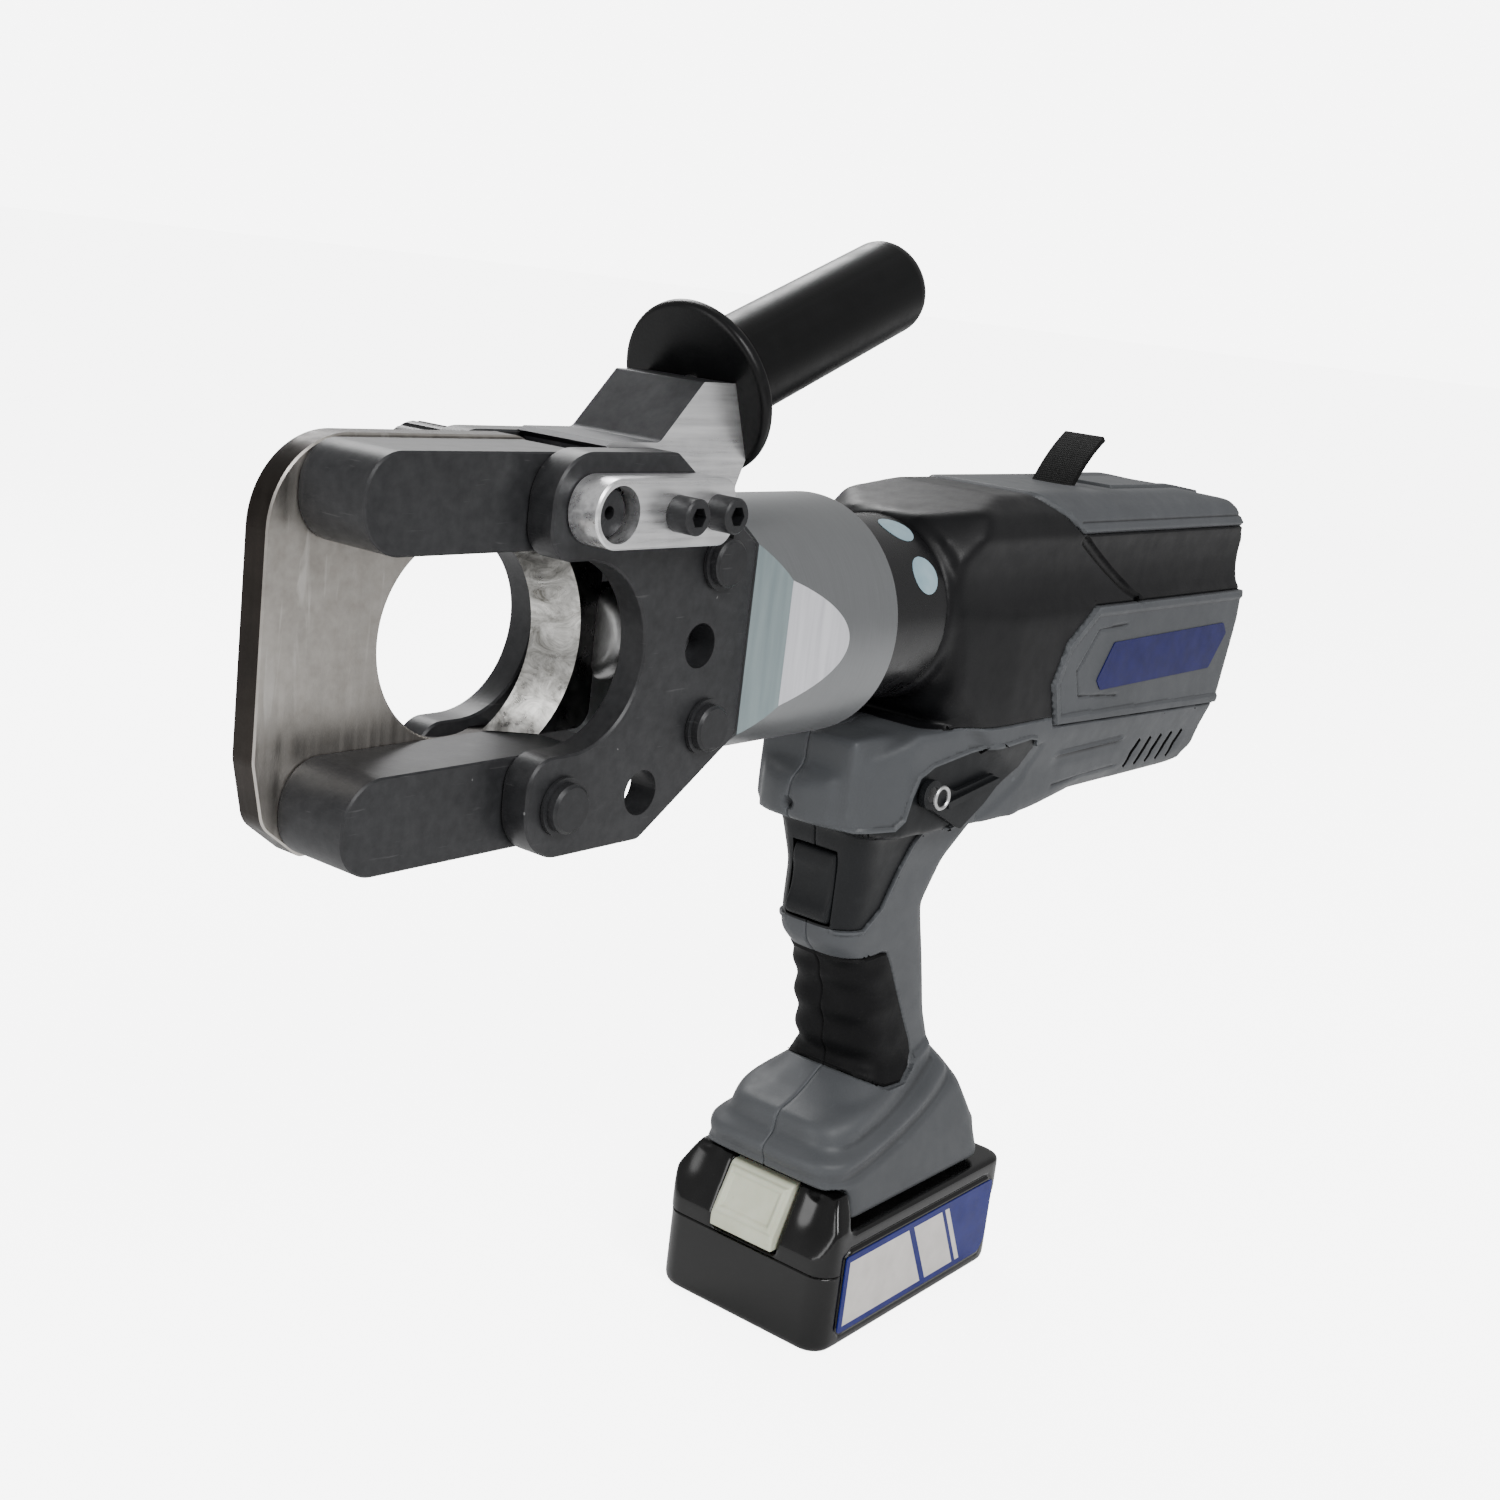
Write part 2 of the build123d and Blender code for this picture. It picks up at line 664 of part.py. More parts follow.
def pad_prism():
    """The rubber pad's outline on the grip's front and sides."""
    points = [
        (-60.0, -126.5),
        (-20.0, -122.0),
        (-15.5, -124.0),
        (8.0, -168.0),
        (4.0, -175.0),
        (-9.0, -181.5),
        (-28.0, -177.0),
        (-60.0, -171.5),
    ]
    return from_side(outline(points, [(1, 3.0), (3, 4.0), (4, 8.0), (5, 6.0)]), -60, 60)


RELEASE_X = -24.0
RELEASE_Z = AXIS_Z - 61.0
RELEASE_SHAFT_R = 2.9

TRIGGER_X = -44.0
TRIGGER_TOP_Z = AXIS_Z - 84.5
TRIGGER_LOW_Z = AXIS_Z - 111.0
TRIGGER_HALF_W = 9.2


def vent_slots(side):
    """Slanted cooling slots low at the back, on one side."""
    slots = None
    for index in range(5):
        x = 124.0 + index * 9.5
        slot = Pos(x, side * 34.0, AXIS_Z - 63.5) * Rot(0, 30, 0) * Box(2.2, 20.0, 13.0)
        slots = slot if slots is None else slots + slot
    return slots


# x, z and the half width at which each screw boss meets the wall
BOSSES = [(46.0, 206.0, 31.6), (160.0, 205.0, 31.2), (7.0, 168.0, 16.2), (10.0, 118.0, 15.6)]


def housing_parts():
    """The skin of the motor body and grip, cut along its real seams into shells, covers and pads."""
    outer = body_solid(0.0) + nose_solid(0.0) + grip_solid(0.0)
    cavity = body_solid(WALL) + nose_solid(WALL) + grip_solid(WALL)
    for sign in (1, -1):
        y0, y1 = sorted((sign * 26.4, sign * 40.0))
        cavity -= block(-60, 60, y0, y1, 40, 48.2)
    skin = outer - cavity
    skin -= x_rod(COLLAR_R + 0.1, -80, 1)
    skin -= block(-80, 56, -26.3, 26.3, 40, 60.5)
    skin -= block(-80, -41.6, -40, 40, 40, 57.6)
    trigger_hole = block(
        -80, -30, -TRIGGER_HALF_W - 0.4, TRIGGER_HALF_W + 0.4, TRIGGER_LOW_Z - 0.6, TRIGGER_TOP_Z + 0.6
    )
    skin -= trigger_hole
    shaft_hole = Pos(0, -10, 0) * Rot(90, 0, 0) * Cylinder(RELEASE_SHAFT_R + RUNNING_GAP, 60)
    skin -= release_place() * shaft_hole
    strap_slot = block(71, 93, -STRAP_W / 2 - 0.4, STRAP_W / 2 + 0.4, AXIS_Z + 25, AXIS_Z + 50)
    skin -= strap_slot

    cover = skin & cover_prism()
    cover = max(cover.solids(), key=lambda solid: solid.volume)
    skin -= cover_prism()
    side_panels = skin & panel_prism()
    skin -= panel_prism()
    inlays = skin & inlay_prism()
    skin -= inlay_prism()
    pad = skin & pad_prism()
    skin -= pad_prism()
    cowl = skin & cowl_prism()
    skin -= cowl_prism()
    skin -= vent_slots(1) + vent_slots(-1)

    def half(shape, sign):
        window = block(-100, 230, 0, 60, 30, 330) if sign > 0 else block(-100, 230, -60, 0, 30, 330)
        part = shape & window
        return max(part.solids(), key=lambda solid: solid.volume)

    keep("top_cover", cover)
    keep("motor_cowl", max(cowl.solids(), key=lambda solid: solid.volume))
    keep("left_side_panel", half(side_panels, -1))
    keep("right_side_panel", half(side_panels, 1))
    keep("left_inlay", half(inlays, -1))
    keep("right_inlay", half(inlays, 1))
    keep("grip_pad", max(pad.solids(), key=lambda solid: solid.volume))

    left = half(skin, -1)
    right = half(skin, 1)
    screws = []
    for x, z, reach in BOSSES:
        hollow = y_rod(1.5, -reach + 6, reach - 5, x, z)
        boss = y_rod(4.4, -reach, reach, x, z) - hollow
        head_hole = y_rod(3.1, reach - 6, 60, x, z)
        left += boss & block(-100, 230, -60, 0, 30, 330)
        right += boss & block(-100, 230, 0, 60, 30, 330)
        right -= head_hole
        shank = y_rod(1.45, -reach + 6.5, reach - 6, x, z)
        head = y_rod(2.8, reach - 6, reach - 4, x, z)
        socket = Pos(x, reach - 4, z) * Rot(90, 0, 0) * hex_prism(2.5, 2.4)
        screws.append(shank + head - socket)
    keep("left_shell", left)
    keep("right_shell", right)
    keep("housing_screws", *screws)


def trigger_part():
    """Switch trigger: a hollow-fronted paddle on a square stem."""
    points = [
        (TRIGGER_X - 1.5, TRIGGER_TOP_Z),
        (TRIGGER_X + 10, TRIGGER_TOP_Z),
        (TRIGGER_X + 10, TRIGGER_LOW_Z),
        (TRIGGER_X - 3.0, TRIGGER_LOW_Z),
    ]
    local = [(x, z - AXIS_Z) for x, z in points]
    shape = outline(local, [(0, 2.5), (3, 2.5)])
    shape -= spot(TRIGGER_X - 20.6, (TRIGGER_TOP_Z + TRIGGER_LOW_Z) / 2 - AXIS_Z, 20.0)
    paddle = from_side(shape, -TRIGGER_HALF_W, TRIGGER_HALF_W)
    paddle = fillet(paddle.edges().filter_by(Axis.Z).group_by(Axis.X)[0], 1.5)
    stem = block(TRIGGER_X + 9, TRIGGER_X + 18, -4, 4, TRIGGER_LOW_Z + 8, TRIGGER_TOP_Z - 8)
    return paddle + stem


def release_place():
    """Local frame of the release lever: -Y is the outward normal of the wedge's left wall."""
    slope = (WEDGE_Y1 - WEDGE_Y0) / (WEDGE_X1 - WEDGE_X0)
    wall_y = WEDGE_Y0 + slope * (RELEASE_X - WEDGE_X0)
    return Pos(RELEASE_X, -wall_y, RELEASE_Z) * Rot(0, 0, -math.degrees(math.atan(slope)))


def release_parts():
    """Pressure release lever on the left side, and the shaft it turns."""
    flat = Plane(origin=(0, -0.4, 0), x_dir=(1, 0, 0), z_dir=(0, -1, 0))
    points = [
        (0.0, 5.0),
        (14.0, -0.5),
        (37.0, 3.5),
        (40.0, -1.0),
        (33.0, -7.0),
        (20.0, -15.0),
        (7.0, -8.5),
        (0.0, -5.0),
    ]
    radii = [(1, 6.0), (2, 1.5), (3, 2.0), (4, 3.0), (5, 2.5), (6, 4.0)]
    shape = outline(points, radii) + Circle(5.2)
    plate = extrude(flat * shape, amount=1.7, dir=(0, -1, 0))
    rib = Pos(23.5, -2.6, -1.8) * Rot(0, -11.0, 0) * Box(30.0, 2.4, 2.4)
    hub = Pos(0, -1.6, 0) * Rot(90, 0, 0) * (Cylinder(5.2, 2.4) - Cylinder(RELEASE_SHAFT_R, 3.0))
    bore = Pos(0, -1.0, 0) * Rot(90, 0, 0) * Cylinder(RELEASE_SHAFT_R, 5.0)
    shaft = Pos(0, 7.2, 0) * Rot(90, 0, 0) * Cylinder(RELEASE_SHAFT_R, 19.4)
    cam_flat = Pos(0, 14.0, 3.0) * Box(8.0, 7.0, 3.0)
    keep("release_lever", release_place() * (plate + rib + hub - bore))
    keep("release_shaft", release_place() * (shaft - cam_flat))


def strap_part():
    """Folded webbing of the hanging strap, standing in the slot of the top cover and leaning back."""
    low = (76.0, 32.0)
    high = (102.0, 60.0)
    outer = RadiusArc(low, high, STRAP_BEND)
    inner = RadiusArc((high[0] + 2.0, high[1] - 1.7), (low[0] + 1.7, low[1] - 2.0), -STRAP_BEND)
    face = make_face([outer, Line(outer @ 1, inner @ 0), inner, Line(inner @ 1, outer @ 0)])
    return from_side(face, -STRAP_W / 2, STRAP_W / 2)


# ---------------------------------------------------------------- drive inside the housing


def drive_parts():
    """Collar, pump, gearbox and motor, front to back on the tool axis."""
    collar = x_tube(COLLAR_R, COLLAR_BORE_R, CYLINDER_REAR_X + 0.4, COLLAR_REAR_X)
    collar -= x_tube(29.75, COLLAR_BORE_R - 1, -31.2, -28.4)
    keep("collar", collar)
    keep("swivel_ring", x_tube(29.7, 27.3, -31.0, -28.6) - block(-35, -25, -3, 3, AXIS_Z, AXIS_Z + 40))

    pump = x_rod(BORE_R - RUNNING_GAP, -38, -22) + x_rod(28.4, -23.6, -4)
    pump -= x_tube(BORE_R + 1, 21.4, -34, -30)
    pump -= x_rod(9.0, -18, -3)
    pump -= z_rod(3.05, AXIS_Z, AXIS_Z + 24, -13)
    pump -= z_rod(4.05, AXIS_Z - 40, AXIS_Z - 14, -13)
    keep("pump_block", pump)
    keep("pump_seal", ring(21.6, BORE_R - 0.1, -33.8, -30.2))
    keep("pump_plunger", z_rod(3.0, AXIS_Z + 7.2, AXIS_Z + 23.5, -13))
    keep("relief_valve", z_rod(4.0, AXIS_Z - 27.6, AXIS_Z - 14.5, -13))

    bladder = x_tube(29.4, 24.4, 10, 42)
    keep("oil_bladder", fillet(bladder.edges(), 1.5))

    case = x_rod(24.0, -3.6, 44) - x_rod(21.0, 8, 45) - x_rod(12.2, -4, 9)
    keep("gear_case", case)
    front_bearing = x_tube(12.1, 6.05, 0, 7.6)

    can = x_rod(22.0, 44.2, 112) - x_rod(20.4, 46, 110) - x_rod(6.1, 40, 120)
    keep("motor_can", can)
    magnet = x_tube(20.3, 16.6, 54, 100)
    upper = magnet & block(40, 120, -30, 30, AXIS_Z + 5, AXIS_Z + 30)
    lower = magnet & block(40, 120, -30, 30, AXIS_Z - 30, AXIS_Z - 5)
    keep("motor_magnets", upper, lower)
    bearings = [front_bearing]
    for x0 in (44.4, 110.2):
        bearings.append(x_tube(6.05, 2.55, x0, x0 + 1.6))
    keep("bearings", *bearings)

    shaft = x_rod(2.5, 26, 130)
    core = x_rod(16.0, 56, 96)
    for index in range(8):
        slot = Rot(index * 45, 0, 0) * Pos(0, 0, 15) * Box(44, 2.4, 9)
        core -= Pos(76, 0, AXIS_Z) * slot
    commutator = x_rod(7.0, 98, 107)
    pinion = x_rod(5.9, 26, 38)
    keep("motor_rotor", shaft + core + commutator + pinion)

    hub = x_rod(5.0, 118, 128) - x_rod(2.5, 110, 135)
    back = x_tube(20.0, 4.5, 118, 119.6)
    fan = hub + back
    for index in range(9):
        blade = Rot(index * 40, 0, 0) * Pos(0, 0, 12.2) * Rot(0, 0, 12) * Box(8.6, 1.4, 15.0)
        fan += Pos(123.6, 0, AXIS_Z) * blade
    keep("cooling_fan", fan)

    carrier = x_rod(19.5, 18, 22) - x_rod(5.0, 17, 23)
    planets = []
    for index in range(3):
        place = Pos(0, 0, AXIS_Z) * Rot(index * 120, 0, 0) * Pos(0, 0, 13.4)
        pin = place * Pos(29, 0, 0) * Rot(0, 90, 0) * Cylinder(2.0, 18.0)
        gear = place * Pos(32, 0, 0) * Rot(0, 90, 0) * (Cylinder(7.4, 11.0) - Cylinder(2.05, 12.0))
        carrier += pin
        planets.append(gear)
    keep("planet_carrier", carrier)
    keep("planet_gears", *planets)

    crank = x_rod(6.0, -5, 17) + x_rod(5.0, 17, 22) + x_rod(5.0, -17, -5)
    crank += x_rod(6.0, -16, -9, 0, AXIS_Z + 0.9)
    keep("eccentric_shaft", crank)


def electric_parts():
    """Switch, control board and the terminal block that the battery plugs into."""
    switch = block(TRIGGER_X + 18.6, 0, -9, 9, TRIGGER_LOW_Z - 2, TRIGGER_TOP_Z + 6)
    switch -= block(-40, TRIGGER_X + 29, -4.3, 4.3, TRIGGER_LOW_Z + 7.6, TRIGGER_TOP_Z - 7.6)
    keep("switch_body", fillet(switch.edges().filter_by(Axis.Y).group_by(Axis.X)[-1], 2.0))

    board = block(58, 140, -21, 21, 200, 201.6)
    for x in (66, 80, 94, 108):
        board += block(x, x + 9, -14, -4, 201.6, 206)
    for y in (6, 16):
        board += z_rod(4.0, 201.6, 214, 124, y - 2)
    keep("control_board", board)

    terminal = block(-34, 40, -21, 21, 52, 60)
    terminal += block(-20, 24, -12, 12, 60, 66)
    for y in (-14, -5, 5, 14):
        terminal += block(-30, -14, y - 0.5, y + 0.5, 47.0, 52.5)
    keep("terminal_block", terminal)


# ---------------------------------------------------------------- battery


def hollow(x0, x1, half_w, z0, z1, radius):
    """The space inside a battery case half, with rounded corners."""
    space = block(x0, x1, -half_w, half_w, z0, z1)
    return fillet(space.edges().filter_by(Axis.Z), radius)


def battery_parts():
    """Slide-on battery: two case halves, ten cells, their board and the sprung release button."""
    half_l = BATTERY_L / 2
    half_w = BATTERY_W / 2
    split_z = BATTERY_SPLIT_Z
    wall = BATTERY_WALL

    lower = block(-half_l, half_l, -half_w, half_w, 0, split_z)
    lower = fillet(lower.edges().filter_by(Axis.Z), LOWER_CORNER_R)
    lower = fillet(lower.edges().group_by(Axis.Z)[0], 3.5)
    lower -= hollow(-half_l + wall, half_l - wall, half_w - wall, wall, 50, LOWER_CORNER_R - wall)
    keep("battery_lower_case", lower)

    side = [
        (-half_l, split_z),
        (-half_l, 36.0),
        (-50.5, 54.5),
        (-48.5, 57.0),
        (-42.0, 57.0),
        (-42.0, BATTERY_DECK_Z),
        (half_l, BATTERY_DECK_Z),
        (half_l, split_z),
    ]
    local = [(x, z - AXIS_Z) for x, z in side]
    upper = from_side(outline(local, [(2, 3.0)]), -half_w, half_w)
    upper = fillet(upper.edges().filter_by(Axis.Z), UPPER_CORNER_R)
    cut = [(half_w + 1, 43.0), (30.0, 60.0), (half_w + 1, 60.0)]
    cut = [(y, z - AXIS_Z) for y, z in cut]
    chamfer_run = run(end_plane(-70), cut, 140)
    upper = upper - chamfer_run - mirrored(chamfer_run)
    for sign in (1, -1):
        y0, y1 = sorted((sign * RAIL_IN, sign * RAIL_NECK))
        upper += block(RAIL_X0, RAIL_X1, y0, y1, BATTERY_DECK_Z - 1, RAIL_TOP_Z)
        y0, y1 = sorted((sign * RAIL_IN, sign * RAIL_OUT))
        upper += block(RAIL_X0, RAIL_X1, y0, y1, RAIL_LIP_Z, RAIL_TOP_Z)
    hollow_x0 = -half_l + wall + SLOPE_INSET
    corner = UPPER_CORNER_R - wall
    upper -= hollow(hollow_x0, half_l - wall, half_w - wall, split_z - 1, HOLLOW_TOP_Z, corner)
    upper -= block(-70, -43.6, -14.3, 14.3, 31.0, 60.0)
    keep("battery_upper_case", upper)

    cells = []
    for row in range(2):
        for column in range(5):
            x = -32.6 + column * 18.6
            z = 12.2 + row * 18.6
            cells.append(y_rod(9.1, -32.5, 32.5, x, z))
    keep("battery_cells", *cells)
    keep("battery_board", block(-46.0, -44.4, -30, 30, 4, 26))

    points = [
        (-half_l - 2.4, 33.0),
        (-half_l - 2.4, 37.5),
        (-51.8, 56.0),
        (-47.0, 56.0),
        (-47.0, 44.0),
        (-half_l + 4.0, 33.0),
    ]
    local = [(x, z - AXIS_Z) for x, z in points]
    button = from_side(outline(local, [(1, 1.5), (2, 2.0)]), -14.0, 14.0)
    keep("battery_button", button)


# ---------------------------------------------------------------- assembly


def main():
    """Build every piece and write one STEP file for each."""
    head_parts()
    keep("cylinder", cylinder_part())
    keep("latch_block", latch_block())
    keep("latch_screws", *latch_screws())
    keep("handle_bracket", handle_bracket())
    handle_parts()
    keep("rod_seal", ring(ROD_R + 0.1, 16.9, -128.0, -124.0))
    keep("moving_blade", moving_blade())
    keep("ram", ram_part())
    keep("piston_seal", ring(21.6, BORE_R - 0.1, -51.8, -48.2))
    keep("blade_pin", y_rod(BLADE_PIN_HOLE_R - RUNNING_GAP, -11.0, 11.0, BLADE_PIN_X, AXIS_Z))
    lock_pin_parts()
    housing_parts()
    keep("trigger", trigger_part())
    release_parts()
    keep("strap", strap_part())
    drive_parts()
    electric_parts()
    battery_parts()

    os.makedirs("parts", exist_ok=True)
    for name, shape in PARTS.items():
        export_step(shape, f"parts/{name}.step")
    print(len(PARTS), "pieces written")


main()
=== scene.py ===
"""Cordless hydraulic cable cutter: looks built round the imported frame. Metres."""

import json
import math

import bmesh
import bpy
import numpy as np
from mathutils import Matrix, Vector


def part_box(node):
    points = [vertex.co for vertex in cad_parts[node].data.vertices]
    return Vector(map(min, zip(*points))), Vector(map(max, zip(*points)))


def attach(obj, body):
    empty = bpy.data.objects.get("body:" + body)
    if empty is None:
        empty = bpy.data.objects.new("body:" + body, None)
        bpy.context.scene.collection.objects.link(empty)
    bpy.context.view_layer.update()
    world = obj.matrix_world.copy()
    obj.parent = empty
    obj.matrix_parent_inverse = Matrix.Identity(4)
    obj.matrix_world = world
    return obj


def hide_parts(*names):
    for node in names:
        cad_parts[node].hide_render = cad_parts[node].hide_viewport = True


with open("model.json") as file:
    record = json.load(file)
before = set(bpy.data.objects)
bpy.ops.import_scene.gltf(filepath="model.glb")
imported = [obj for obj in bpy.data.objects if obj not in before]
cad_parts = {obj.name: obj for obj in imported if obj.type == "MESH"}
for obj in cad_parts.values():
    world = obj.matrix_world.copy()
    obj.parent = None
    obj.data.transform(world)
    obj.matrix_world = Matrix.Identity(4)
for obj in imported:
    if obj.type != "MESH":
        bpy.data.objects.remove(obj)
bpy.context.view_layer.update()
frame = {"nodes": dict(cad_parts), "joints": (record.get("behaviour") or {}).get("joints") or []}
MM = 0.001

# ---------------------------------------------------------------- dimensions
# Lengths are in millimetres. A side outline is a list of (x, height), and its heights count from
# the tool axis unless a comment says otherwise.

AXIS_Z = 262.0  # height of the tool axis above the floor
FAR = 1e9

# Outlines of the housing's pieces on its sides; what is in none of them is grey shell.
PANEL = [(66, 1), (200, 1), (200, -48), (46, -43), (40, -27), (47, -12)]
COVER = [(22, 45), (52, 27.5), (210, 27.5), (210, 45)]
INLAY_SHAPE = [
    (-62, -73.5), (-38, -73.5), (-34, -70), (-32, -62), (-29, -55.5), (-22, -52.3), (-10, -50.5),
    (8, -47.8), (30, -46.4), (34.5, -47.2), (36, -50.5), (31, -57.5), (16, -65.5), (2, -71),
    (-8, -76.5), (-14, -84), (-25, -106), (-34, -112.5), (-62, -112.5),
]
PAD = [
    (-60, -126.5), (-20, -124), (-16.5, -124.6), (-14.2, -127.5), (6, -163), (7.5, -168),
    (5, -173), (-2, -176.5), (-12, -176), (-24, -171), (-60, -166),
]
COWL = [(-60, -39.5), (47, -39.5), (47, -42.4), (210, -42.4), (210, 60), (-60, 60)]
COWL_SEAM = COWL[:4]

# Grooves and steps scored into the skin.
CHANNEL = [(54, 25), (101, 1.5)]
INNER_LINE = [(92, -7.5), (70, -8.5), (57, -23), (61, -33), (92, -35.5)]
SHELF = [(56, -55.5), (112, -55.0)]
SHELF_MIDDLE = -55.2
SHELF_LOW = [(60, -68.5), (112, -67.5)]
COVER_LINE = [(50, 31.5), (200, 31.5)]
TRAY_X = (98, 176)
TRAY_Y = 17
TRAY_FLOOR = 36  # the tray is the only part of the skin above this height behind the cowl
NOSE_HOLE = (-65.6, 0, -66)
RIBS = (-133.0, -146.5, -160.0, -172.0)  # heights of the finger ribs
FOOT_FOLDS = (  # height, half width and depth of each fold round the foot
    (-184.0, 4.0, 1.5), (-190.0, 3.4, -1.3), (-195.5, 3.6, 1.4), (-200.5, 3.0, -0.9),
)

# Holes through the skin.
VENT_X = [124 + 9.5 * index for index in range(5)]
VENT_Z = -63.5
VENT_LEAN = math.radians(30)
VENT_HALF_WIDTH = 1.2
VENT_HALF_LENGTH = 6.6
VENT_Y = 20  # the vents are further out than this on both sides
TRIGGER_HALF_Y = 9.6
TRIGGER_LOW = -111.6
TRIGGER_HIGH = -83.9

# Blocks that close the shells' openings for the wrap: x0, x1, y0, y1, z0, z1, z from the floor.
PLUGS = [
    (-41.4, 47.2, -28, 28, 46.5, 62),  # battery bay
    (-52.4, -40, -27, 27, 57.8, 62),  # bay's front edge
    (-44.5, -30, -12, 12, 148, 181),  # trigger window
    (-58, 28, -20, 20, 193, 221),  # release shaft and lever seat
    (-28, -20, -28.2, -18, 197, 205),
    (69, 95, -10, 10, 290, 302.3),  # strap slot
    (118, 176, -29.5, 29.5, 189, 212),  # vents
    (118, 176, -31.5, 31.5, 200, 212),
    (31.6, 33.8, -31, 31, 186.8, 193),  # behind the nose wedge
    (42, 50, 20, 31.4, 202, 210),  # housing screws
    (156, 164, 20, 31.0, 201, 209),
    (3, 11, 8, 16.4, 164, 172),
    (6, 14, 8, 15.8, 114, 122),
]

# Voxel size and smoothing rounds of each wrapped skin, and the walls given to the pieces.
HOUSING_WRAP = (1.15, 16)
BATTERY_WRAP = (0.95, 5)
BUTTON_WRAP = (0.5, 7)
TRIGGER_WRAP = (0.55, 14)
HOUSING_WALL = 2.0
BATTERY_WALL = 1.8

COLLAR_R = 31.3
COLLAR_PLUG_R = 32.4
COLLAR_PLUG_X = -13.5
COLLAR_PLUG_LENGTH = 38
DISC_R = 6.6
SPLIT_Z = 30.0  # the battery's parting line, from the floor


def from_floor(points):
    """A side outline with its heights counted from the floor, as one counted from the tool axis."""
    return [(x, z - AXIS_Z) for x, z in points]


SIDE_FIELD = from_floor(
    [(-46, 5), (47, 5), (50, 9), (50, 36), (47, 39), (-46, 39), (-49, 36), (-49, 9)]
)
LABEL_SHAPE = from_floor([(-49, 7.2), (46, 7.2), (49.5, 12), (49.5, 37), (-49, 37)])
BODY_STICKER = [(73, -28), (77, -32), (171, -31), (183, -17), (179, -12.5), (83, -14)]

# Light levels: what the room gives the tool, what the camera sees of the bare backdrop, and the
# share of the floor's brightness that comes from the lamps. Places below are in metres.
ROOM_LIGHT = 0.50
BACKDROP = 7.0
FLOOR_LIT = 1.0
FLOOR_HALF = 40.0
TOOL_MIDDLE = (-0.05, 0.0, 0.22)
SOFT_BOXES = (  # name, place, size, watts
    ("key", (-0.55, -1.25, 1.3), (0.8, 0.6), 27),
    ("front", (-1.6, 0.25, 0.55), (0.5, 1.0), 9),
    ("rim", (0.7, 1.2, 1.3), (1.0, 0.5), 18),
)
CAMERA_PLACE = (-0.5864, -0.3688, 0.3647)
CAMERA_TURN = (76.495, -6.695, -51.797)  # degrees
CAMERA_LENS = 47.02
CAMERA_SENSOR = 36

# ---------------------------------------------------------------- node helpers


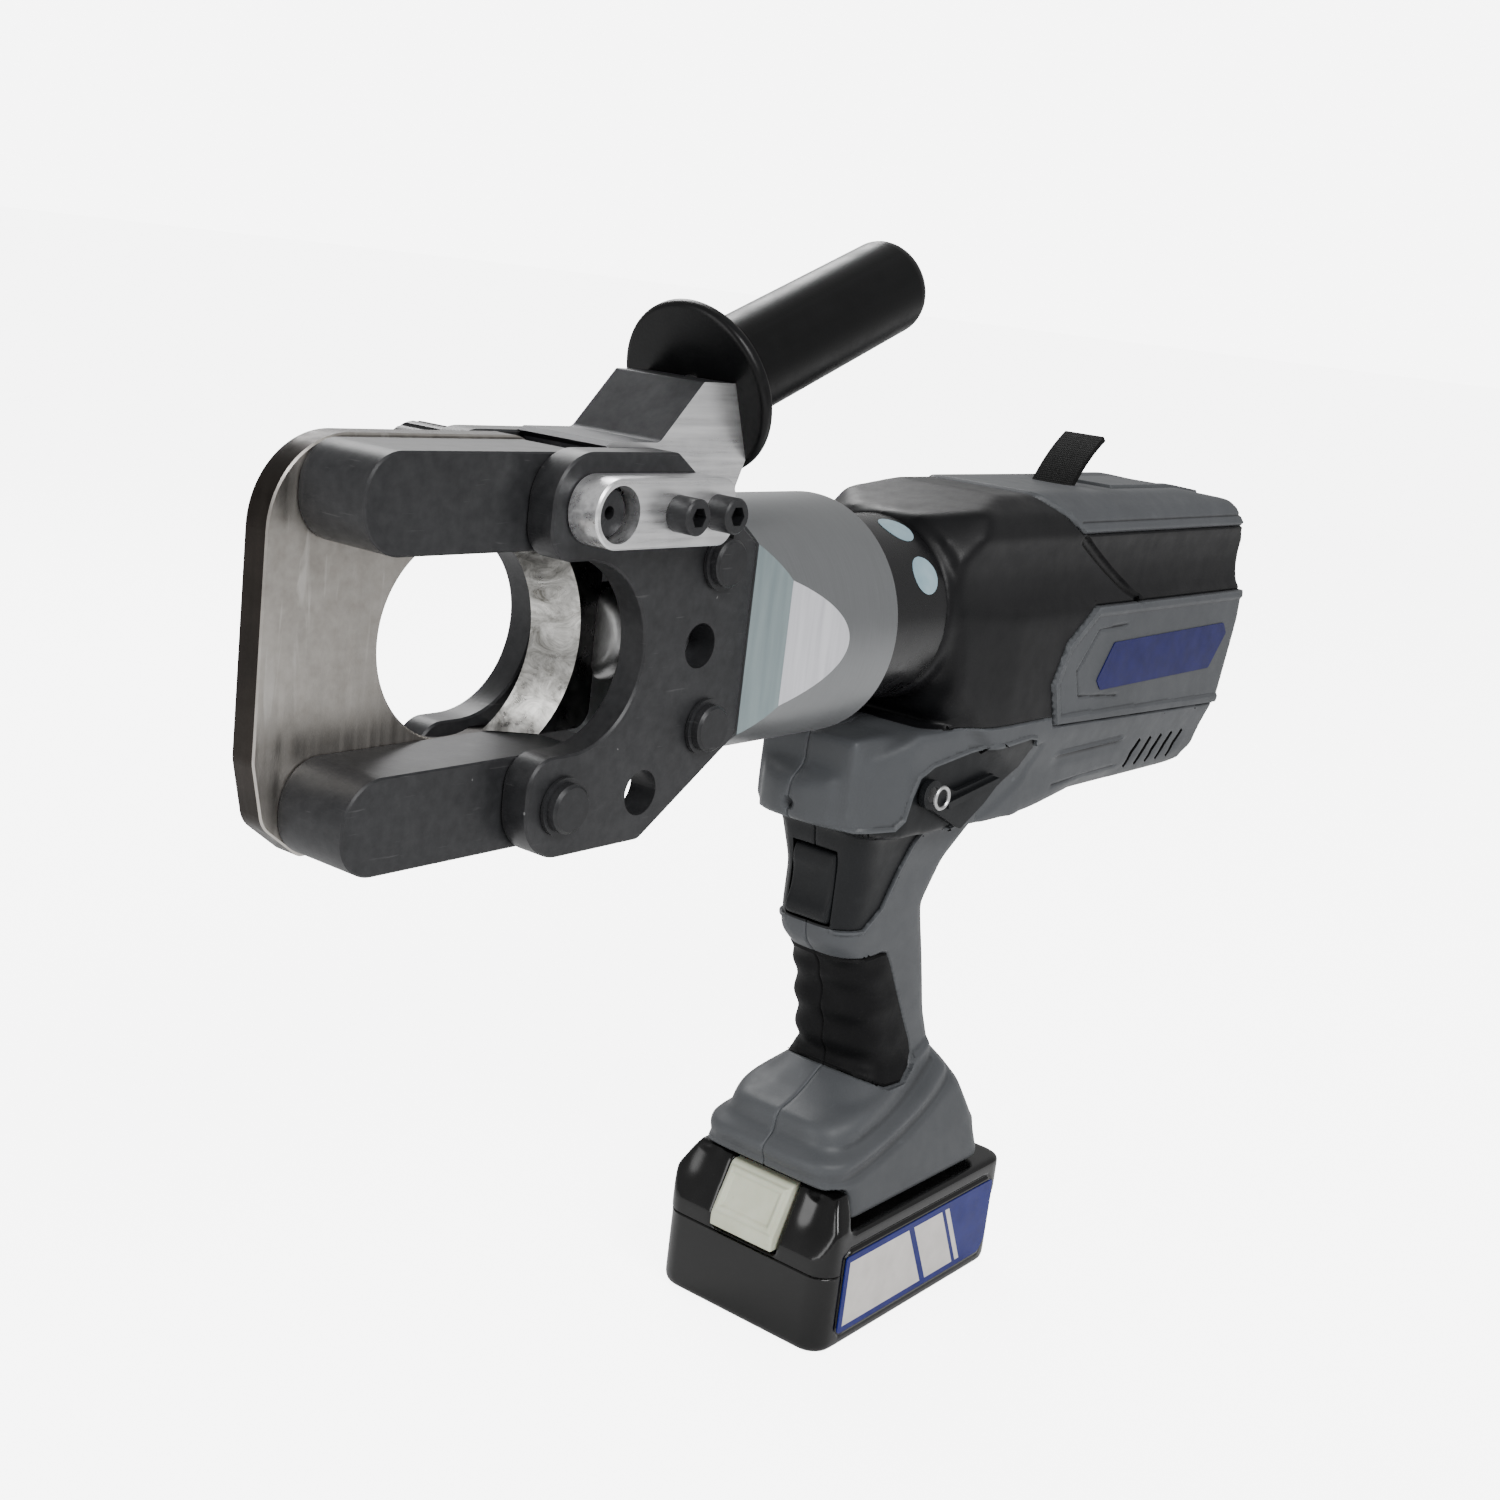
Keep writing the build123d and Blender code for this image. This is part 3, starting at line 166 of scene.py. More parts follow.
class Shader:
    """A material's node tree with short ways to add and join nodes."""

    def __init__(self, name):
        self.material = bpy.data.materials.new(name)
        self.material.use_nodes = True
        self.tree = self.material.node_tree
        self.bsdf = self.tree.nodes["Principled BSDF"]
        self.coords = self.add("ShaderNodeTexCoord").outputs["Object"]

    def add(self, kind, **settings):
        node = self.tree.nodes.new(kind)
        for key, value in settings.items():
            setattr(node, key, value)
        return node

    def join(self, source, target):
        self.tree.links.new(source, target)

    def feed(self, value, socket):
        """Put a node's output or a plain value into a socket."""
        if hasattr(value, "is_output"):
            self.join(value, socket)
        else:
            socket.default_value = value

    def constant(self, name, value):
        self.bsdf.inputs[name].default_value = value

    def noise(self, scale, detail=4.0, rough=0.55, stretch=(1, 1, 1), distortion=0.0):
        """Noise in object space; stretch multiplies the scale along each axis."""
        mapping = self.add("ShaderNodeMapping")
        mapping.inputs["Scale"].default_value = stretch
        self.join(self.coords, mapping.inputs["Vector"])
        node = self.add("ShaderNodeTexNoise")
        node.inputs["Scale"].default_value = scale
        node.inputs["Detail"].default_value = detail
        node.inputs["Roughness"].default_value = rough
        node.inputs["Distortion"].default_value = distortion
        self.join(mapping.outputs[0], node.inputs["Vector"])
        return node.outputs["Fac"]

    def ramp(self, source, low, high, at=(0.3, 0.7)):
        """Colours or greys spread between two noise levels."""
        node = self.add("ShaderNodeValToRGB")
        node.color_ramp.elements[0].position = at[0]
        node.color_ramp.elements[1].position = at[1]
        node.color_ramp.elements[0].color = colour(low)
        node.color_ramp.elements[1].color = colour(high)
        self.join(source, node.inputs["Fac"])
        return node.outputs["Color"]

    def mix(self, factor, first, second):
        node = self.add("ShaderNodeMix", data_type="RGBA")
        for value, index in ((factor, 0), (first, 6), (second, 7)):
            self.feed(value, node.inputs[index])
        return node.outputs[2]

    def math(self, operation, first, second=0.0, clamp=False):
        node = self.add("ShaderNodeMath", operation=operation, use_clamp=clamp)
        self.feed(first, node.inputs[0])
        self.feed(second, node.inputs[1])
        return node.outputs[0]

    def spread(self, source, low, high):
        """0 where the source is at low, 1 where it is at high."""
        node = self.add("ShaderNodeMapRange")
        node.inputs["From Min"].default_value = low
        node.inputs["From Max"].default_value = high
        self.join(source, node.inputs["Value"])
        return node.outputs[0]

    def bump(self, height, distance, strength=1.0, normal=None):
        node = self.add("ShaderNodeBump")
        node.inputs["Strength"].default_value = strength
        node.inputs["Distance"].default_value = distance
        self.join(height, node.inputs["Height"])
        if normal is not None:
            self.join(normal, node.inputs["Normal"])
        return node.outputs["Normal"]

    def facing(self, direction, low, high):
        """White where the surface faces a direction of the part, by the cosine between them."""
        normal = self.add("ShaderNodeTexCoord").outputs["Normal"]
        dot = self.add("ShaderNodeVectorMath", operation="DOT_PRODUCT")
        dot.inputs[1].default_value = Vector(direction).normalized()
        self.join(normal, dot.inputs[0])
        return self.spread(dot.outputs["Value"], low, high)

    def either_side(self, low=0.5, high=0.8):
        """White where the surface faces either side of the tool."""
        right = self.facing((0, 1, 0), low, high)
        left = self.facing((0, -1, 0), low, high)
        return self.math("ADD", right, left, True)

    def place(self):
        """The X, Y and Z outputs of the object position, in metres."""
        split = self.add("ShaderNodeSeparateXYZ")
        self.join(self.coords, split.inputs[0])
        return split.outputs

    def worn_edges(self, low=0.515, high=0.56):
        """A mask that is white on sharp outer edges, broken up by noise."""
        pointiness = self.add("ShaderNodeNewGeometry").outputs["Pointiness"]
        edge = self.spread(pointiness, low, high)
        return self.math("MULTIPLY", edge, self.noise(320, 3), clamp=True)

    def creases(self, low=0.455, high=0.49):
        """A mask that is white in grooves and inner corners, where the moulded materials paint
        shade.
        """
        pointiness = self.add("ShaderNodeNewGeometry").outputs["Pointiness"]
        return self.spread(pointiness, high, low)

    def finish(self, base, roughness, normal=None, metallic=0.0):
        """Fill the shader's main sockets; returns the material."""
        for value, name in ((base, "Base Color"), (roughness, "Roughness"), (normal, "Normal")):
            if value is not None:
                self.feed(value, self.bsdf.inputs[name])
        self.constant("Metallic", metallic)
        return self.material


def colour(value):
    """A colour tuple from a grey or an RGB triple."""
    if isinstance(value, (int, float)):
        value = (value, value, value)
    return (*value, 1.0)


# ---------------------------------------------------------------- materials


def black_oxide(name="black_oxide"):
    """Blackened tool steel: slate black, faint mottling, handling scratches and rubbed edges."""
    s = Shader(name)
    cloud = s.noise(38, 5)
    base = s.ramp(cloud, (0.0075, 0.0078, 0.0088), (0.0120, 0.0125, 0.0138))
    scratch = s.noise(90, 2, 0.4, stretch=(1.0, 1.0, 14.0), distortion=0.4)
    marks = s.ramp(scratch, 0.0, 1.0, at=(0.71, 0.78))
    base = s.mix(s.math("MULTIPLY", marks, 0.30), base, colour((0.10, 0.10, 0.102)))
    nicks = s.ramp(s.noise(210, 2, 0.5), 0.0, 1.0, at=(0.775, 0.79))
    base = s.mix(s.math("MULTIPLY", nicks, 0.5), base, colour((0.26, 0.26, 0.26)))
    base = s.mix(s.math("MULTIPLY", s.worn_edges(), 0.22), base, colour((0.12, 0.12, 0.125)))
    rough = s.ramp(s.noise(60, 4), 0.36, 0.46)
    s.constant("Specular IOR Level", 0.30)
    return s.finish(base, rough, s.bump(s.noise(900, 3), 0.00004, 0.6), metallic=0.12)


def ground_blade(name="ground_blade"):
    """Satin blade steel: ground flat faces with a warm tint and scratches, a dark unground rim."""
    s = Shader(name)
    grind = s.noise(420, 2, 0.5, stretch=(1.0, 1.0, 0.05))
    cloud = s.noise(14, 4, 0.6)
    warm = s.ramp(cloud, (0.20, 0.178, 0.155), (0.44, 0.41, 0.375), at=(0.34, 0.64))
    face = s.mix(s.math("MULTIPLY", grind, 0.30), warm, colour((0.52, 0.50, 0.47)))
    scratch = s.noise(260, 3, 0.5, stretch=(1.0, 1.0, 0.10), distortion=0.8)
    face = s.mix(s.ramp(scratch, 0.0, 0.5, at=(0.62, 0.72)), face, colour((0.68, 0.66, 0.63)))
    worn = s.math("MULTIPLY", s.worn_edges(0.505, 0.53), 0.6)
    face = s.mix(worn, face, colour((0.62, 0.60, 0.57)))
    rim = s.ramp(s.noise(45, 5, 0.6), (0.014, 0.0115, 0.0098), (0.036, 0.030, 0.026))
    base = s.mix(s.either_side(0.35, 0.6), rim, face)
    rough = s.ramp(grind, 0.30, 0.46)
    return s.finish(base, rough, s.bump(grind, 0.00005, 0.35), metallic=1.0)


def cutting_edge(name="cutting_edge"):
    """Hand-ground bevel: crossing scratches and mottled bright steel, with painted shade darkening
    the flat faces.
    """
    s = Shader(name)
    swirl = s.noise(150, 6, 0.72, stretch=(1.0, 0.35, 1.0), distortion=1.2)
    bright = s.ramp(swirl, (0.16, 0.155, 0.14), (0.74, 0.73, 0.70), at=(0.32, 0.66))
    # painted shade: the flat faces are darkened as if they lay in shadow between the side plates
    dark = s.ramp(s.noise(60, 4), (0.03, 0.03, 0.032), (0.09, 0.088, 0.085))
    base = s.mix(s.either_side(0.93, 0.985), bright, dark)
    rough = s.ramp(s.noise(260, 4), 0.22, 0.48)
    return s.finish(base, rough, s.bump(swirl, 0.00012, 0.5), metallic=1.0)


def satin_silver(name="satin_silver"):
    """Silver-coated cylinder with fine turning rings, and two milled facets on each side."""
    s = Shader(name)
    rings = s.noise(2600, 2, 0.5, stretch=(1.0, 0.03, 0.03))
    base = s.ramp(rings, (0.168, 0.173, 0.178), (0.184, 0.190, 0.196), at=(0.3, 0.7))
    drift = s.noise(30, 3)
    base = s.mix(s.math("MULTIPLY", drift, 0.25), base, colour((0.23, 0.237, 0.245)))
    for sign in (-1, 1):
        front = s.facing((-0.66, sign * 0.75, 0), 0.985, 0.995)
        cuts = s.noise(500, 2, 0.5, stretch=(1, 1, 0.06))
        milled = s.ramp(cuts, (0.20, 0.25, 0.262), (0.25, 0.305, 0.315))
        base = s.mix(front, base, milled)
        long_facet = s.facing((-0.188, sign * 0.982, 0), 0.9955, 0.998)
        cuts = s.noise(400, 2, 0.5, stretch=(1, 1, 0.06))
        pale = s.ramp(cuts, (0.60, 0.60, 0.64), (0.76, 0.76, 0.80))
        base = s.mix(long_facet, base, pale)
    rough = s.ramp(s.noise(70, 4), 0.30, 0.38)
    return s.finish(base, rough, s.bump(rings, 0.000004, 0.3), metallic=0.6)


def milled_aluminium(name="milled_aluminium", shaded=False):
    """Milled aluminium with short machining marks; shaded darkens all but the side faces."""
    s = Shader(name)
    marks = s.noise(500, 3, 0.6, stretch=(0.06, 1.0, 1.0))
    stain = s.noise(45, 4, 0.6)
    base = s.ramp(marks, (0.58, 0.58, 0.59), (0.88, 0.88, 0.89))
    base = s.mix(s.ramp(stain, 0.0, 0.22, at=(0.5, 0.75)), base, colour((0.40, 0.40, 0.41)))
    base = s.mix(s.math("MULTIPLY", s.worn_edges(), 0.5), base, colour((0.9, 0.9, 0.9)))
    rough = s.ramp(marks, 0.24, 0.40)
    if shaded:
        dull = s.ramp(s.noise(160, 5, 0.65), (0.040, 0.041, 0.044), (0.066, 0.067, 0.071))
        side = s.either_side(0.5, 0.8)
        base = s.mix(side, dull, base)
        rough = s.mix(side, colour(0.5), rough)
    return s.finish(base, rough, s.bump(marks, 0.00005, 0.4), metallic=0.9)


def bare_steel(name="bare_steel", tone=0.32):
    """Turned steel with a soft grey gradient of handling stains."""
    s = Shader(name)
    rings = s.noise(300, 3, 0.5)
    base = s.ramp(rings, (tone * 0.85,) * 3, (tone * 1.15,) * 3)
    base = s.mix(s.ramp(s.noise(40, 4), 0.0, 0.4, at=(0.45, 0.7)), base, colour((tone * 0.55,) * 3))
    rough = s.ramp(s.noise(90, 4), 0.28, 0.42)
    return s.finish(base, rough, s.bump(rings, 0.00003, 0.4), metallic=1.0)


def moulded(name, low, high, rough, grain=1500, depth=0.00005, gloss=0.34, edge=0.22):
    """Moulded plastic: fine grain, slow colour drift, scuffs, painted shade in creases, polished
    edges.
    """
    s = Shader(name)
    base = s.ramp(s.noise(24, 4), low, high)
    scuff = s.noise(130, 3, 0.5, stretch=(0.25, 1.0, 1.0), distortion=0.6)
    lighter = colour(tuple(v * 1.5 + 0.004 for v in high))
    base = s.mix(s.ramp(scuff, 0.0, 0.35, at=(0.68, 0.80)), base, lighter)
    polished = colour(tuple(v * 1.9 + 0.006 for v in high))
    base = s.mix(s.math("MULTIPLY", s.worn_edges(), edge), base, polished)
    # painted shade: grooves and inner corners are darkened as if in shadow
    shadow = colour(tuple(v * 0.12 for v in low))
    base = s.mix(s.math("MULTIPLY", s.creases(), 0.8), base, shadow)
    rough_map = s.ramp(s.noise(130, 4), rough - 0.06, rough + 0.06)
    s.constant("Specular IOR Level", gloss)
    return s.finish(base, rough_map, s.bump(s.noise(grain, 2), depth, 0.5))


def gloss_black(name="gloss_black"):
    """Polished black moulding with faint swirls."""
    s = Shader(name)
    base = s.ramp(s.noise(30, 3), 0.0020, 0.0045)
    swirl = s.noise(160, 3, 0.5, distortion=1.5)
    base = s.mix(s.ramp(swirl, 0.0, 0.25, at=(0.72, 0.8)), base, colour(0.02))
    rough = s.ramp(s.noise(55, 5), 0.14, 0.27)
    s.constant("Specular IOR Level", 0.38)
    return s.finish(base, rough, s.bump(s.noise(180, 3), 0.00002, 0.3))


def cream_plastic(name="cream_plastic"):
    """Pale yellow-green button plastic, a little soft to light."""
    s = Shader(name)
    base = s.ramp(s.noise(60, 5), (0.50, 0.52, 0.385), (0.62, 0.635, 0.505))
    rough = s.ramp(s.noise(90, 3), 0.26, 0.38)
    s.constant("Subsurface Weight", 0.05)
    return s.finish(base, rough, s.bump(s.noise(260, 3), 0.00006, 0.3))


def woven(name="woven"):
    """Black webbing with a plain weave."""
    s = Shader(name)
    wave = s.add("ShaderNodeTexWave", wave_type="BANDS", bands_direction="Z")
    wave.inputs["Scale"].default_value = 420
    s.join(s.coords, wave.inputs["Vector"])
    cross = s.add("ShaderNodeTexWave", wave_type="BANDS", bands_direction="Y")
    cross.inputs["Scale"].default_value = 420
    s.join(s.coords, cross.inputs["Vector"])
    height = s.math("MULTIPLY", wave.outputs["Fac"], cross.outputs["Fac"])
    base = s.ramp(height, 0.002, 0.008, at=(0.0, 1.0))
    s.constant("Specular IOR Level", 0.2)
    return s.finish(base, s.ramp(height, 0.75, 0.9), s.bump(height, 0.0003, 0.7))


def sticker(name, low, high):
    """Printed film: one ink with faint mottling under a semi-gloss surface."""
    s = Shader(name)
    base = s.ramp(s.noise(140, 5), low, high)
    rough = s.ramp(s.noise(80, 4), 0.30, 0.42)
    s.constant("Specular IOR Level", 0.2)
    return s.finish(base, rough, s.bump(s.noise(500, 2), 0.00001, 0.2))


def battery_label(name="battery_label"):
    """Printed film: a blue ground with a broad off-white block, a narrower one and a thin stripe."""
    s = Shader(name)
    x, _, z = s.place()
    leaning = s.math("ADD", x, s.math("MULTIPLY", z, 0.52))

    def between(value, low, high):
        above = s.math("GREATER_THAN", value, low)
        return s.math("MULTIPLY", above, s.math("LESS_THAN", value, high))

    inside = between(z, 0.0095, 0.0345)
    behind = s.math("GREATER_THAN", x, -0.0465)
    block = s.math("MULTIPLY", behind, s.math("LESS_THAN", leaning, 0.0089))
    second = between(leaning, 0.0123, 0.0314)
    stripe = between(leaning, 0.0336, 0.0364)
    pale = s.math("MULTIPLY", s.math("ADD", s.math("ADD", block, second), stripe, True), inside)
    blue = s.ramp(s.noise(140, 5), (0.004, 0.0075, 0.115), (0.007, 0.012, 0.155))
    white = s.ramp(s.noise(120, 5), (0.60, 0.57, 0.54), (0.70, 0.67, 0.64))
    rough = s.ramp(s.noise(80, 4), 0.30, 0.42)
    s.constant("Specular IOR Level", 0.2)
    return s.finish(s.mix(pale, blue, white), rough, s.bump(s.noise(500, 2), 0.00001, 0.2))


BLACK_OXIDE = black_oxide()
BLADE = ground_blade()
EDGE = cutting_edge()
SILVER = satin_silver()
ALUMINIUM = milled_aluminium()
STEEL = bare_steel()
GREY = moulded(
    "grey_shell", (0.054, 0.0575, 0.062), (0.066, 0.070, 0.0755), 0.48, gloss=0.28, edge=0.40
)
DARK = moulded("dark_cowl", (0.0030, 0.0030, 0.0036), (0.0062, 0.0062, 0.0070), 0.42, gloss=0.19)
INLAY = moulded("inlay", (0.0035, 0.0040, 0.0048), (0.0070, 0.0078, 0.0090), 0.46, 1100, gloss=0.24)
RUBBER = moulded(
    "rubber", (0.0022, 0.0022, 0.0026), (0.0048, 0.0048, 0.0052), 0.58, 900, 0.00009, 0.12
)
HANDLE = moulded(
    "handle", (0.0016, 0.0016, 0.0019), (0.0032, 0.0032, 0.0036), 0.36, 1200, gloss=0.20
)
COLLAR = moulded(
    "collar", (0.0022, 0.0022, 0.0026), (0.0045, 0.0045, 0.0052), 0.27, 1200, 0.00002, 0.36
)
BRACKET = milled_aluminium("bracket_aluminium", shaded=True)
LIGHT_RING = bare_steel("light_ring", 0.55)
BLUE_FILM = sticker("blue_film", (0.0035, 0.0045, 0.060), (0.0060, 0.0070, 0.088))
PALE_FILM = sticker("pale_film", (0.22, 0.33, 0.38), (0.30, 0.41, 0.46))
LABEL = battery_label()
# Painted shade: a near-black material for the wall rims and insides of the housing's pieces.
SEAM_SHADE = moulded("seam_shadow", (0.0012, 0.0012, 0.0014), (0.0026, 0.0026, 0.0030), 0.7, gloss=0.05)
GLOSS = gloss_black()
CREAM = cream_plastic()
WEBBING = woven()
SCREW = black_oxide("black_screw")

NODE_MATERIALS = {
    BLACK_OXIDE: [
        "left_side_plate", "right_side_plate", "upper_guide_arm", "lower_guide_arm", "hinge_pin",
        "frame_pins", "circlips", "lock_pin",
    ],
    BLADE: ["fixed_blade"],
    EDGE: ["moving_blade"],
    SILVER: ["cylinder"],
    ALUMINIUM: ["latch_block", "pump_block", "gear_case"],
    BRACKET: ["handle_bracket"],
    STEEL: [
        "ram", "blade_pin", "handle_stud", "swivel_ring", "pump_plunger", "motor_can", "bearings",
        "motor_rotor", "planet_carrier", "planet_gears", "eccentric_shaft",
        "relief_valve", "motor_magnets",
    ],
    GREY: ["left_shell", "right_shell", "top_cover", "left_side_panel", "right_side_panel"],
    DARK: ["motor_cowl"],
    INLAY: [
        "left_inlay", "right_inlay", "trigger", "release_lever", "switch_body", "terminal_block",
        "cooling_fan",
    ],
    RUBBER: ["grip_pad", "rod_seal", "piston_seal", "pump_seal", "oil_bladder"],
    HANDLE: ["handle_grip"],
    COLLAR: ["collar", "lock_knob", "release_shaft"],
    GLOSS: [
        "battery_lower_case", "battery_upper_case", "battery_cells", "battery_board",
        "control_board",
    ],
    CREAM: ["battery_button"],
    WEBBING: ["strap"],
    SCREW: ["latch_screws", "jaw_bolts", "housing_screws"],
}
MATERIAL_OF = {name: material for material, names in NODE_MATERIALS.items() for name in names}
for name, material in MATERIAL_OF.items():
    for place in frame["nodes"][name].material_slots:
        place.material = material

# The left and right CAD nodes of each region of the housing's skin.
REGION_NODES = {
    "cowl": ("motor_cowl", "motor_cowl"),
    "pad": ("grip_pad", "grip_pad"),
    "cover": ("top_cover", "top_cover"),
    "shell": ("left_shell", "right_shell"),
    "panel": ("left_side_panel", "right_side_panel"),
    "inlay": ("left_inlay", "right_inlay"),
}


# ---------------------------------------------------------------- moulded pieces
# The CAD shells are wrapped in one skin, which is smoothed, given its ridges and grooves, and cut
# along the real seams into one piece for each CAD node. The battery, its button and the trigger
# are wrapped in the same way.


def add_block(bm, x0, x1, y0, y1, z0, z1):
    """A closed box in a bmesh, in millimetres."""
    corners = [
        bm.verts.new((x * MM, y * MM, z * MM)) for x in (x0, x1) for y in (y0, y1) for z in (z0, z1)
    ]
    for quad in ((0, 1, 3, 2), (4, 6, 7, 5), (0, 4, 5, 1), (2, 3, 7, 6), (0, 2, 6, 4), (1, 5, 7, 3)):
        bm.faces.new([corners[index] for index in quad])


def add_hull(bm, points):
    """The convex hull of points whose heights count from the tool axis."""
    corners = [bm.verts.new((x * MM, y * MM, (z + AXIS_Z) * MM)) for x, y, z in points]
    hull = bmesh.ops.convex_hull(bm, input=corners)
    spare = [item for item in hull["geom_interior"] if isinstance(item, bmesh.types.BMVert)]
    bmesh.ops.delete(bm, geom=spare, context="VERTS")


def new_object(name, bm):
    mesh = bpy.data.meshes.new(name)
    bm.to_mesh(mesh)
    bm.free()
    thing = bpy.data.objects.new(name, mesh)
    bpy.context.scene.collection.objects.link(thing)
    return thing


def baked(thing):
    """The object's mesh with its modifiers applied; the object itself is removed."""
    graph = bpy.context.evaluated_depsgraph_get()
    mesh = bpy.data.meshes.new_from_object(thing.evaluated_get(graph))
    bpy.data.objects.remove(thing)
    return mesh


def islands(bm):
    """The bmesh's vertices in lists, one list for each connected surface."""
    seen = set()
    found = []
    for start in bm.verts:
        if start in seen:
            continue
        members = [start]
        seen.add(start)
        for vertex in members:
            for edge in vertex.link_edges:
                other = edge.other_vert(vertex)
                if other not in seen:
                    seen.add(other)
                    members.append(other)
        found.append(members)
    return found


def wrap(bm, voxel, rounds):
    """Wrap a bmesh of closed solids in one smoothed skin; only its longest island is kept."""
    lump = new_object("lump", bm)
    remesh = lump.modifiers.new("wrap", "REMESH")
    remesh.mode = "VOXEL"
    remesh.voxel_size = voxel * MM
    skin = bmesh.new()
    skin.from_mesh(baked(lump))
    skin.verts.ensure_lookup_table()
    found = islands(skin)
    found.sort(key=lambda members: max(v.co.x for v in members) - min(v.co.x for v in members))
    for members in found[:-1]:
        bmesh.ops.delete(skin, geom=members, context="VERTS")
    for _ in range(rounds):
        bmesh.ops.smooth_vert(
            skin, verts=skin.verts, factor=0.5, use_axis_x=True, use_axis_y=True, use_axis_z=True
        )
    return skin


def depth_inside(points, x, z, mitred=False):
    """Distance inside a side outline, negative outside. Mitred measures from the edges' lines."""
    closed = points + points[:1]
    inside = np.zeros(x.shape, bool)
    lines = np.full(x.shape, FAR)
    area = sum(a[0] * b[1] - b[0] * a[1] for a, b in zip(closed, closed[1:]))
    turn = 1.0 if area > 0 else -1.0
    for (ax, az), (bx, bz) in zip(closed, closed[1:]):
        ex, ez = bx - ax, bz - az
        lines = np.minimum(lines, turn * (ex * (z - az) - ez * (x - ax)) / math.hypot(ex, ez))
        inside ^= ((az > z) != (bz > z)) & (x < ax + (z - az) * ex / (ez if ez else 1e-9))
    if mitred:
        return lines
    nearest = path_distance(closed, x, z)
    return np.where(inside, nearest, -nearest)


def path_distance(points, x, z):
    """Distance from an open side-view path."""
    nearest = np.full(x.shape, FAR)
    for (ax, az), (bx, bz) in zip(points, points[1:]):
        ex, ez = bx - ax, bz - az
        along = np.clip(((x - ax) * ex + (z - az) * ez) / (ex * ex + ez * ez), 0, 1)
        nearest = np.minimum(nearest, np.hypot(x - ax - along * ex, z - az - along * ez))
    return nearest


def faces_near(bm, test):
    """The faces whose centres pass a test in millimetres, heights from the tool axis."""
    chosen = []
    for face in bm.faces:
        centre = face.calc_center_median()
        if test(centre.x / MM, centre.y / MM, centre.z / MM - AXIS_Z):
            chosen.append(face)
    return chosen


def slice_faces(bm, faces, point, normal):
    """Cut the faces with a plane, its height from the tool axis; returns them with the new ones."""
    edges = {edge for face in faces for edge in face.edges}
    verts = {vert for face in faces for vert in face.verts}
    place = Vector((point[0] * MM, point[1] * MM, (point[2] + AXIS_Z) * MM))
    result = bmesh.ops.bisect_plane(
        bm, geom=[*verts, *edges, *faces], dist=1e-6, plane_co=place, plane_no=normal
    )
    return [item for item in result["geom"] if isinstance(item, bmesh.types.BMFace)]


def score(bm, points, offsets, closed=True, reach=6.0):
    """Cut along a side outline's edges, at each offset to their right."""
    pairs = list(zip(points, points[1:] + points[:1])) if closed else list(zip(points, points[1:]))
    for (ax, az), (bx, bz) in pairs:
        length = math.hypot(bx - ax, bz - az)
        ux, uz = (bx - ax) / length, (bz - az) / length

        def close(x, _y, z):
            along = (x - ax) * ux + (z - az) * uz
            across = (x - ax) * uz - (z - az) * ux
            return -reach < along < length + reach and abs(across) < reach

        faces = faces_near(bm, close)
        if not faces:
            continue
        for offset in offsets:
            point = (ax + uz * offset, 0, az - ux * offset)
            faces = slice_faces(bm, faces, point, Vector((uz, 0, -ux)))


def wave(value, low, high):
    """0 at low and below, 1 at high and above, smooth between."""
    t = np.clip((value - low) / (high - low), 0, 1)
    return t * t * (3 - 2 * t)


def hump(value, centre, half):
    """A smooth bump of height 1."""
    t = np.clip(np.abs(value - centre) / half, 0, 1)
    return 0.5 + 0.5 * np.cos(math.pi * t)


def housing_skin():
    """The closed outer skin of the whole housing, before it is cut."""
    bm = bmesh.new()
    for name in (
        "left_shell", "right_shell", "motor_cowl", "top_cover", "left_side_panel",
        "right_side_panel", "left_inlay", "right_inlay", "grip_pad",
    ):
        bm.from_mesh(frame["nodes"][name].data)
    place = Matrix.Translation((COLLAR_PLUG_X * MM, 0, AXIS_Z * MM))
    turn = place @ Matrix.Rotation(math.pi / 2, 4, "Y")
    radius = COLLAR_PLUG_R * MM
    depth = COLLAR_PLUG_LENGTH * MM
    bmesh.ops.create_cone(
        bm, cap_ends=True, segments=96, radius1=radius, radius2=radius, depth=depth, matrix=turn
    )
    for plug in PLUGS:
        add_block(bm, *plug)
    for sign in (-1, 1):  # the nose wedge runs out along the body instead of ending in a step
        wedge = [
            (32, 32.3, -60), (32, 32.3, -77), (32, 20, -77), (32, 20, -60),
            (86, 31.0, -66), (86, 30.4, -68.6), (86, 24, -75.8), (86, 20, -66),
        ]
        add_hull(bm, [(x, y * sign, z) for x, y, z in wedge])
    return wrap(bm, *HOUSING_WRAP)


